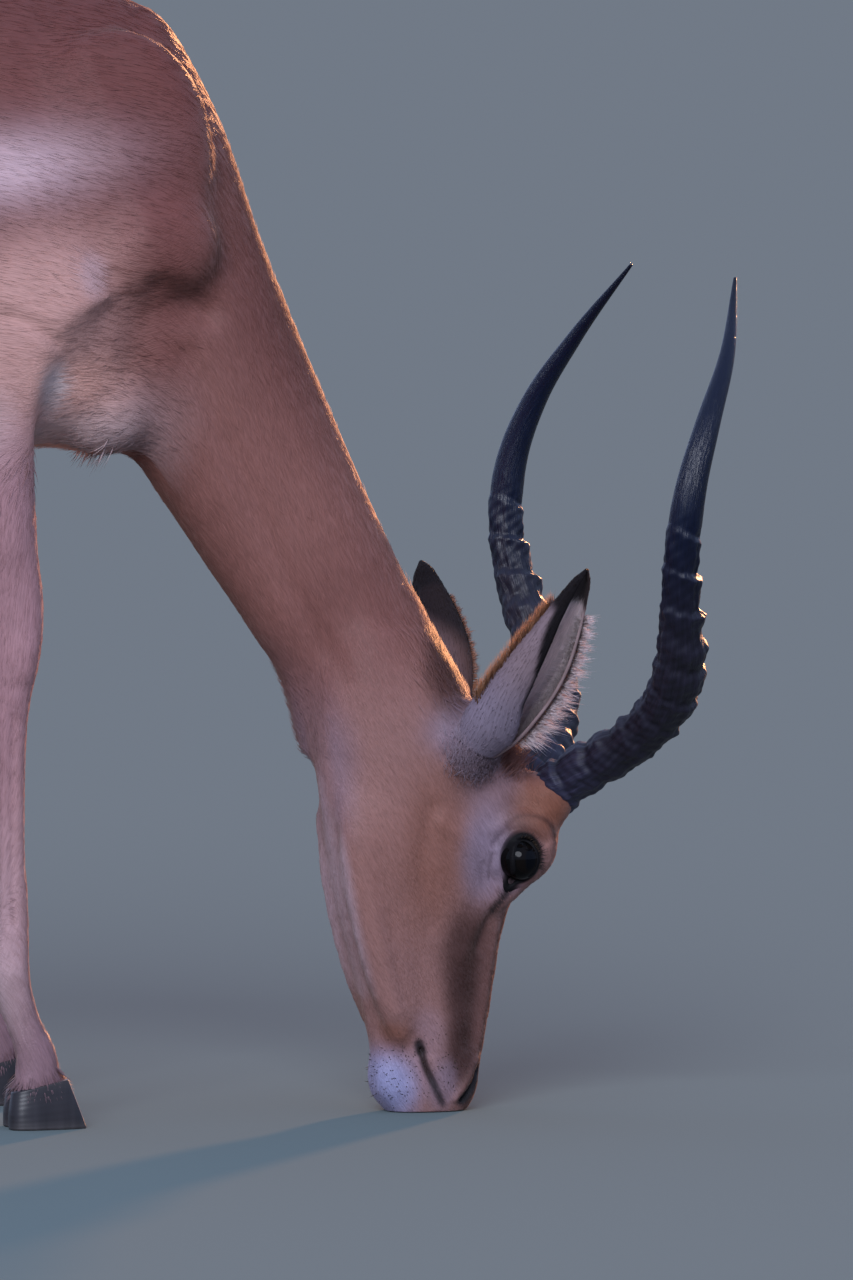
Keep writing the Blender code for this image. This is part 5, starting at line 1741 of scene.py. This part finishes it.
def tufts(roots, normals, along, length, width, lift, colours, spots, laid=False, lit_as_skin=False):
    """A set of tufts for add_tufts: points with the way each is lit, colours, places on the unwrap.

    Three of a tuft's points are at its root, three half way, and one is its tip.
    A laid tuft follows the skin: its middle and tip stand over the nearest places on it.
    It is lit like the skin below it, because a real coat is too fine for one hair's own shade.
    A free tuft has no such way, written as zero, and is lit by its own shape.
    """
    side = unit(np.cross(normals, along))
    length, width, lift = (np.broadcast_to(v, len(roots))[:, None] for v in (length, width, lift))
    base = roots - normals * TUFT_ROOT
    middle = roots + along * 0.5 * length
    tip = roots + along * length
    middle_up = tip_up = normals
    if laid:
        middle, middle_up = nearest_skin(middle)
        tip, tip_up = nearest_skin(tip)
    middle = middle + middle_up * 0.62 * lift
    tip = tip + tip_up * lift
    thick = 0.22 * width
    lean = TUFT_LEAN * side
    ways = (
        normals + lean,
        normals - lean,
        normals,
        middle_up + lean,
        middle_up - lean,
        middle_up,
        tip_up + TUFT_LEAN * along,
    )
    rows = (
        base + side * 0.5 * width,
        base - side * 0.5 * width,
        base + normals * (thick + TUFT_ROOT),
        middle + side * 0.42 * width,
        middle - side * 0.42 * width,
        middle + middle_up * thick,
        tip,
    )
    lit = np.stack(ways, 1) * float(laid or lit_as_skin)
    return np.concatenate([np.stack(rows, 1), lit], 2), colours, spots


def add_tufts(name, sets, material, slot):
    """Makes sets of tufts into pieces below the triangle limit, each with its OFBake map."""
    points, colours, spots = [np.concatenate(column) for column in zip(*sets)]
    for number, start in enumerate(range(0, len(points), MOST_TUFTS), 1):
        part = slice(start, start + MOST_TUFTS)
        firsts = 7 * np.arange(len(points[part]))[:, None, None]
        faces = (TUFT_FACES[None] + firsts).reshape(-1, 3)
        flat, lit = np.split(points[part].reshape(-1, 6), 2, axis=1)
        flat[:, 2] = np.maximum(flat[:, 2], TUFT_FLOOR)
        mesh = mesh_of(f"{name}_{number}", flat, faces)
        mesh.normals_split_custom_set_from_vertices(unit(lit).tolist())
        place = spots[part][:, None] + TUFT_PATCH * (TUFT_SPOTS[None] - [0.0, 0.5])
        layer = mesh.uv_layers.new(name="OFBake")
        layer.data.foreach_set("uv", place.reshape(-1, 2)[faces.ravel()].astype(np.float32).ravel())
        shades = colours[part][:, None] * TUFT_SHADES[None, :, None]
        add_piece(mesh, material, slot, coat_colour=np.clip(shades, 0, 1).reshape(-1, 3))
    print(name, len(points), "tufts,", 10 * len(points), "triangles")


# %% Unwrap of the skin
# Each region is unrolled round its own core line: metres along it, and the angle round it.
CORES = {
    "trunk": ((-0.71, 0.0, 0.72), (0.13, 0.0, 0.66)),
    "neck": ((0.02, 0.0, 0.7), (0.14, 0.0, 0.58), (0.27, 0.0, 0.29)),
    "head": ((0.26, 0.0, 0.36), (0.305, -0.01, 0.19), (0.305, -0.01, 0.0)),
    "fore": ((-0.03, FORE_TRACK, 0.6), (-0.018, FORE_TRACK, 0.3), (0.0, FORE_TRACK, 0.02)),
    "hind": ((-0.56, HIND_TRACK, 0.72), (-0.69, HIND_TRACK, 0.37), (-0.63, HIND_TRACK, 0.02)),
}


def unwrapped(points, region):
    """Place on the unwrap: share along the core, and angle round it, both from 0 to 1."""
    core = np.array(CORES[region])
    if region in ("fore", "hind"):
        points = points.copy()
        points[:, 1] = np.abs(points[:, 1])
    runs = np.linalg.norm(np.diff(core, axis=0), axis=1)
    best = np.full(len(points), np.inf)
    along = np.zeros(len(points))
    turn = np.zeros(len(points))
    for start, end, done in zip(core, core[1:], np.cumsum(runs) - runs):
        run = end - start
        t = np.clip((points - start) @ run / (run @ run), 0.0, 1.0)
        off = points - start - t[:, None] * run
        distance = np.linalg.norm(off, axis=1)
        nearer = distance < best
        third = unit(np.cross(run, [0.0, 1.0, 0.0])[None])[0]
        best = np.where(nearer, distance, best)
        along = np.where(nearer, done + t * np.linalg.norm(run), along)
        turn = np.where(nearer, np.arctan2(off[:, 1], off @ third), turn)
    return 0.01 + 0.98 * np.stack([along / runs.sum(), turn / (2 * math.pi) + 0.5], 1)


# %% Where the coat grows
corner = skin_points[skin_faces]
face_centres = corner.mean(1)
face_areas = np.linalg.norm(np.cross(corner[:, 1] - corner[:, 0], corner[:, 2] - corner[:, 0]), axis=1) / 2
face_region = np.array(list(LIE))[region_shares(face_centres).argmax(1)]
horn_foot = through(HORN, 60)[:12, :3]
HORN_PATHS = [to_body(horn_foot * [1, side, 1]) for _, side in SIDES]
HORN_CLEAR = 0.0215
BARE_LINES = (("nostril", 0.0036), ("mouth", 0.003), ("mouth corner", 0.0032))
BARE_FOOT = 0.03  # height of the bare feet, where hair hangs over from above
BARE_FOOT_AHEAD = 0.1  # the low muzzle lies further ahead than this, and is hairy
BARE_SOLE = 0.0012  # height under which nothing has hair
BARE_LID = 0.005  # width of the bare skin round the lids


def bare(points):
    """Places without hair: eyes, nostrils, mouth, nose pad, hooves, horn bases and the soles."""
    head_points = folded(points)
    without = near_eye(head_points, 0.045, 0.028) & (past_lid(head_points) < BARE_LID)
    for name, reach in BARE_LINES:
        without |= path_distance(head_points, smooth_path(GROOVES[name][0])) < reach
    without |= nose_pad(head_points, 0.0105, 0.019) > 0.5
    for path in HORN_PATHS:
        without |= path_distance(points, path) < HORN_CLEAR
    foot = (points[:, 2] < BARE_FOOT) & (points[:, 0] < BARE_FOOT_AHEAD)
    return without | foot | (points[:, 2] < BARE_SOLE)


face_bare = bare(face_centres)
hairy_areas = face_areas * ~face_bare
print("bare faces", int(face_bare.sum()))


def drawn(weights, count):
    """Random faces with odds by weight, and a random spot inside each."""
    chosen = rng.choice(len(weights), count, p=weights / weights.sum())
    a, b = rng.random((2, count, 1))
    over = (a + b) > 1
    a, b = np.where(over, 1 - a, a), np.where(over, 1 - b, b)
    corners = skin_faces[chosen]
    share = np.stack([1 - a - b, a, b], 1)
    roots = (skin_points[corners] * share).sum(1)
    return roots, unit((skin_normals[corners] * share).sum(1))


# %% Coat regions
# Region: tufts in all, length, width, lift at the tip, how far directions wander in degrees, slot.
COAT = {
    "trunk": (41000, 0.012, 0.0007, 0.0006, 6.0, "coat"),
    "neck": (21000, 0.011, 0.0007, 0.0007, 6.0, "coat"),
    "head": (28000, 0.0052, 0.00048, 0.0004, 6.0, "face_coat"),
    "fore": (8500, 0.0075, 0.00062, 0.0005, 5.0, "leg_coat"),
    "hind": (12000, 0.008, 0.00066, 0.0005, 5.0, "leg_coat"),
}
STRAY_SHARE = 0.04  # of tufts that stand out further
SWIRL_STEP = 0.045  # metres between neighbouring swirls of direction


def swirl(points):
    """A slow wave over the body that turns neighbouring hairs the same way, from -1 to 1."""
    x, y, z = points.T / SWIRL_STEP
    return 0.5 * np.sin(1.7 * x + 2.3 * z + 1.1 * y) + 0.5 * np.sin(3.1 * z - 2.2 * x + 2.7 * y + 1.0)


def grow(region, weights, count, length, width, lift, wander):
    """Draws one region's tufts."""
    roots, normals = drawn(weights, count)
    along = hair_direction(roots, normals)
    angle = np.radians(wander) * (0.6 * swirl(roots) + 0.7 * rng.normal(size=count))
    along = turned(along, normals, angle)
    size = spread(0.72, 0.56, count)
    if region == "head":
        size = size * (1 - 0.38 * rises(-to_head(roots)[:, 2], 0.02, 0.12))
    stray = rng.random(count) < STRAY_SHARE
    height = lift * spread(0.45, 0.75, count) * np.where(stray, 2.2, 1.0)
    wide = width * spread(0.8, 0.4, count)
    vary = 0.38 if region == "head" else 0.28
    shade = spread(1 - 0.5 * vary, vary, count) + 0.02 * swirl(2.3 * roots)
    colours = coat_colour(roots) * shade[:, None]
    spots = unwrapped(roots, region)
    return tufts(roots, normals, along, length * size, wide, height, colours, spots, laid=True)


for region, (*sizes, slot) in COAT.items():
    weights = face_areas * ((face_region == region) & ~face_bare)
    if region == "head":
        weights = weights * (1 + 0.9 * falls(to_head(face_centres)[:, 2], -0.12, -0.02))
    add_tufts(f"coat_{region}", [grow(region, weights, *sizes)], TUFT_FINISH, slot)

# %% [markdown]
# ## Longer hair
# A few places carry longer hair: the brisket between the fore legs, the throat, the edges and
# the inside of the ears, the lashes of the upper lids, whiskers round the lips, the black tufts
# on the hind cannons and the tail. They are made like the rest of the coat, only longer.

# %% Long hair
LONG_PATCHES = (  # centre x and z, reach, tufts, length, lift, extra turn down
    ((0.045, 0.488), (0.06, 0.014), 700, 0.013, 0.003, 0.5),  # brisket
    ((0.06, 0.48), (0.0045, 0.016), 90, 0.016, 0.002, 3.0),  # point of the brisket
    ((0.085, 0.52), (0.05, 0.05), 500, 0.014, 0.0022, 0.2),  # front of the chest
    ((-0.18, 0.475), (0.2, 0.018), 1500, 0.016, 0.0028, 0.2),  # belly
    ((0.205, 0.285), (0.02, 0.04), 500, 0.012, 0.003, 0.3),  # throat
    ((0.318, 0.345), (0.03, 0.045), 1500, 0.014, 0.003, 0.0),  # nape
    ((0.2, 0.64), (0.04, 0.2), 1500, 0.012, 0.0016, 0.0),  # crest of the neck
    ((-0.69, 0.65), (0.04, 0.1), 1200, 0.018, 0.0026, 0.2),  # buttock
)
LONG_WIDTH = 0.0008
HANGING = np.array([-0.2, 0.0, -1.0])


def long_patch(centre, reach, count, length, lift, down):
    """One patch of long hair. It lies on the skin, unless it is turned down to hang free."""
    roots, normals = drawn(hairy_areas * blob(face_centres[:, [0, 2]], centre, reach), count)
    along = unit(hair_direction(roots, normals) + down * HANGING * rng.random((count, 1)))
    along = strayed(along, normals, 12)
    size = length * spread(0.6, 0.6, count)
    colours = coat_colour(roots) * spread(0.92, 0.25, (count, 1))
    height = lift * spread(0.4, 0.8, count)
    spots = unwrapped(roots, "neck" if centre[0] > 0.1 else "trunk")
    return tufts(roots, normals, along, size, LONG_WIDTH, height, colours, spots, laid=down < 1)


add_tufts("coat_long", [long_patch(*patch) for patch in LONG_PATCHES], TUFT_FINISH, "coat")


# %% Hind cannon tufts
def cannon_tufts(side, count=420):
    """The black patch behind one hind fetlock."""
    mine = (np.sign(face_centres[:, 1]) == side) * rises(heel_oval(face_centres), 0.0, 0.7)
    roots, normals = drawn(face_areas * mine, count)
    along = strayed(hair_direction(roots, normals), normals, 8)
    size = 0.016 * spread(0.7, 0.5, count)
    black = np.array(BLACK) * spread(0.8, 1.2, (count, 1))
    return tufts(roots, normals, along, size, 0.001, 0.0022, black, unwrapped(roots, "hind"), laid=True)


add_tufts("cannon_tufts", [cannon_tufts(side) for _, side in SIDES], TUFT_FINISH, "leg_coat")

# %% Hair over the hooves
CORONET_SLOPE = (HOOF_HEIGHT - HEEL_HEIGHT) / (CORONET_TOE - CORONET_HEEL)
CORONET_BAND = (0.0035, 0.005)  # height of its middle over the slanting top of the hoof, and reach


def coronet_hair(side, region, hoof_x, count=330):
    """Hair that hangs over the top of one foot's hooves."""
    ahead = face_centres[:, 0] - hoof_x
    above = face_centres[:, 2] - HEEL_HEIGHT - CORONET_SLOPE * (ahead - CORONET_HEEL)
    mine = (np.sign(face_centres[:, 1]) == side) & (np.abs(ahead) < 0.045)
    mine &= np.abs(above - CORONET_BAND[0]) < CORONET_BAND[1]
    roots, normals = drawn(face_areas * mine, count)
    along = unit([0.0, 0.0, -1.0] + 0.85 * normals + 0.1 * rng.normal(size=normals.shape))
    size = 0.0125 * spread(0.6, 0.6, count)
    colours = coat_colour(roots) * spread(0.85, 0.25, (count, 1))
    spots = unwrapped(roots, region)
    return tufts(roots, normals, along, size, 0.0009, 0.0006, colours, spots, lit_as_skin=True)


sets = [coronet_hair(side, region, hoof_x) for _, side in SIDES for _, region, hoof_x, _ in feet(side)]
add_tufts("coronet_hair", sets, TUFT_FINISH, "leg_coat")

# %% Ear hair
EAR_HAIR = (  # name, surface, tufts, share of length, share from the outer rim, length, lift, turn out
    ("back", 0, 2200, (0.03, 0.97), (0.02, 0.98), 0.006, 0.0005, 0.0),
    ("inside", 1, 1100, (0.06, 0.92), (0.04, 0.99), 0.0095, 0.0008, 0.0),
    ("inner edge", 0, 3000, (0.12, 0.775), (0.93, 1.0), 0.019, 0.002, 0.0),
    ("fringe", 0, 1200, (0.22, 0.8), (0.3, 0.46), 0.0125, 0.0075, 0.0),
    ("long inside", 1, 420, (0.04, 0.5), (0.04, 0.24), 0.017, 0.004, -0.4),
    ("long inside far", 1, 1500, (0.06, 0.76), (0.78, 0.99), 0.017, 0.006, 0.9),
)
# Tone of hair that isn't coloured like the leaf under it.
EAR_TONES = {
    "inner edge": EAR_PALE, "fringe": EAR_FRINGE, "long inside": EAR_PALE, "long inside far": EAR_PALE
}
EAR_TONE_END = 0.78  # share of the length, beyond which all hair is black like the tip
EAR_HAIR_WIDTH = 0.00042
# The left ear's edge hair is painted darker: painted shade on the ear turned from the light.
FAR_EDGE_SHADE = [0.45, 0.25, 0.16]  # the left ear's inner edge is short and dark


def ear_hair(word, side, label, surface, count, lengths, columns, length, lift, turn):
    """One kind of hair on one ear, in cells of the leaf's grid drawn at random."""
    grids, tones, share, across = ears[word]
    grid = grids[surface]
    columns = columns if side < 0 else (1 - columns[1], 1 - columns[0])
    i = (rng.uniform(*lengths, count) * (len(grid) - 2)).astype(int)
    j = (rng.uniform(*columns, count) * (grid.shape[1] - 2)).astype(int)
    roots, at, over = grid[i, j], share[i, j], across[i, j]
    ahead = unit(grid[i + 1, j] - roots)
    around = unit(grid[i, j + 1] - roots)
    normals = unit(np.cross(around, ahead))
    rows, cols = (at * (EAR_ROWS - 1)).astype(int), (over * (EAR_COLUMNS - 1)).astype(int)
    outwards = np.sign(((roots - grid.mean(1)[rows]) * normals).sum(1, keepdims=True))
    normals = normals * outwards * (1 if surface == 0 else -1)
    along = unit(ahead * math.cos(turn) - side * around * math.sin(turn))
    stands = label == "inner edge"
    if stands:
        way = 0.55 * ahead + 0.9 * normals - 0.45 * side * around
        along = unit(way + 0.18 * rng.normal(size=(count, 3)))
    along = strayed(along, normals, 8)
    colours = tones[surface][rows, cols] * spread(0.85, 0.4, (count, 1))
    if label in EAR_TONES:
        own = np.array(EAR_TONES[label]) * spread(0.8, 0.4, (count, 1))
        colours = np.where((at < EAR_TONE_END)[:, None], own, colours)
    size = length * spread(0.6, 0.6, count) * (1 - 0.45 * at)
    if stands:
        size = size * (1.15 - 0.75 * at**2) * rng.uniform(0.4, 1.25, count) * (0.8 + 0.35 * np.sin(95 * at))
        normals = turned(normals, ahead, 0.8 * rng.normal(size=count))
    if stands and side > 0:
        # Painted shade on the far ear's inner edge.
        size, colours = 0.35 * size, colours * FAR_EDGE_SHADE
    spots = np.stack([0.02 + 0.47 * at + 0.25 * (side + 1), 0.02 + 0.96 * over], 1)
    height = lift * spread(0.3, 0.9, count)
    inside = surface == 1
    return tufts(roots, normals, along, size, EAR_HAIR_WIDTH, height, colours, spots, lit_as_skin=inside)


sets = [ear_hair(word, side, *kind) for word, side in SIDES for kind in EAR_HAIR]
add_tufts("ear_hair", sets, EAR_TUFT_FINISH, "ear")

# %% Fur round the ears and horns
# Centre, reach, tufts, length, lift, way, tone, sides. Places and ways are in the head frame.
HEAD_TUFTS = (
    ((-0.042, 0.05, 0.078), 0.02, 1900, 0.012, 0.001, (-0.25, 0.8, 0.6), EAR_ROOT, (-1, 1)),
    ((-0.006, 0.032, 0.076), 0.014, 700, 0.018, 0.003, (0.4, 0.4, 0.85), FOREHEAD, (-1, 1)),
    ((-0.004, 0.0, 0.075), 0.022, 420, 0.01, 0.002, (-0.2, 0.0, 1.0), FOREHEAD, (-1,)),
)
HEAD_TUFT_WIDTH = 0.00045


def head_tufts(side, centre, reach, count, length, lift, way, tone):
    """Fur round one place of the head, all in one way, with a share of the place's own tone."""
    away = np.linalg.norm(to_head(face_centres) - mirrored(centre, side), axis=1) / reach
    roots, normals = drawn(hairy_areas * np.exp(-(away**4)), count)
    along = unit(mirrored(way, side) @ TURN.T + 0.22 * rng.normal(size=(count, 3)))
    size = length * spread(0.6, 0.6, count)
    height = lift * spread(0.4, 0.8, count)
    blend = spread(0.35, 0.5, count)
    colours = mixed(coat_colour(roots), (tone, blend)) * spread(0.9, 0.2, (count, 1))
    spots = unwrapped(roots, "head")
    return tufts(roots, normals, along, size, HEAD_TUFT_WIDTH, height, colours, spots, lit_as_skin=True)


sets = [head_tufts(side, *row) for *row, sides in HEAD_TUFTS for side in sides]
add_tufts("head_long", sets, TUFT_FINISH, "face_coat")

# %% Tail hair
TAIL_TUFTS = 4200
rows = (rng.uniform(0.0, 0.93, TAIL_TUFTS) * (len(dock) - 2)).astype(int)
columns = rng.integers(0, dock.shape[1], TAIL_TUFTS)
roots = dock[rows, columns]
normals = unit(roots - dock.mean(1)[rows])
along = strayed(unit(dock[rows + 1, columns] - roots), normals, 8)
low = rows / len(dock)
size = (0.016 + 0.034 * low) * spread(0.6, 0.6, TAIL_TUFTS)
colours = tail_colour(roots) * spread(0.8, 0.4, (TAIL_TUFTS, 1))
spots = np.stack([0.02 + 0.96 * low, 0.02 + 0.96 * columns / dock.shape[1]], 1)
height = 0.004 * spread(0.4, 0.8, TAIL_TUFTS)
tail_set = tufts(roots, normals, along, size, 0.0012, height, colours, spots)
add_tufts("tail_hair", [tail_set], TUFT_FINISH, "tail_brush")

# %% Lashes and whiskers
LASH_ANGLES = (math.radians(-35), math.radians(100))


def black_coat(count):
    """The same black for each of a set's tufts."""
    return np.tile(np.array(BLACK), (count, 1))


def lashes(side, count=90):
    """Lashes that stand out from the upper lid."""
    angle = rng.uniform(*LASH_ANGLES, count)
    across, along = lid_spots(angle, opening_radius(angle) + 0.0008)
    out = skin_height(across, along, side) + 0.0002
    roots = np.stack([across, side * out, along], 1)
    way = unit(np.stack([0.75 * np.cos(angle) + 0.1, side * 0.75 + 0 * angle, 0.75 * np.sin(angle)], 1))
    way = unit(way + 0.12 * rng.normal(size=way.shape))
    up = unit(np.cross(way, np.stack([-np.sin(angle), 0 * angle, np.cos(angle)], 1)))
    size = 0.0085 * spread(0.6, 0.6, count)
    spots = np.stack([spread(0.1, 0.8, count), 0.25 + 0.4 * (side > 0) + 0 * angle], 1)
    black = black_coat(count)
    return tufts(to_body(roots), up @ TURN.T, way @ TURN.T, size, 0.00042, 0.1 * size, black, spots)


add_tufts("lashes", [lashes(side) for _, side in SIDES], TUFT_FINISH, "face_coat")

WHISKERS = (  # centre forward and up, reach, number, length, width
    ((-0.094, -0.155), (0.018, 0.02), 48, 0.0062, 0.00024),
    ((-0.052, -0.158), (0.012, 0.018), 28, 0.0062, 0.00024),
    ((-0.098, -0.16), (0.02, 0.02), 180, 0.0007, 0.0009),
    ((-0.06, -0.145), (0.018, 0.026), 100, 0.0006, 0.0008),
)


def whiskers(centre, reach, count, length, width):
    """Stiff dark hairs, or the dark pores of shed ones, that stand out from the lips."""
    weights = hairy_areas * blob(to_head(face_centres)[:, [0, 2]], centre, reach)
    roots, normals = drawn(weights * (face_region == "head"), count)
    way = unit(normals + 0.5 * hair_direction(roots, normals) + 0.25 * rng.normal(size=normals.shape))
    up = unit(np.cross(way, np.tile([0.0, 1.0, 0.3], (count, 1))))
    size = length * spread(0.5, 0.7, count)
    return tufts(roots, up, way, size, width, 0.15 * size, black_coat(count), unwrapped(roots, "head"))


add_tufts("whiskers", [whiskers(*row) for row in WHISKERS], TUFT_FINISH, "face_coat")
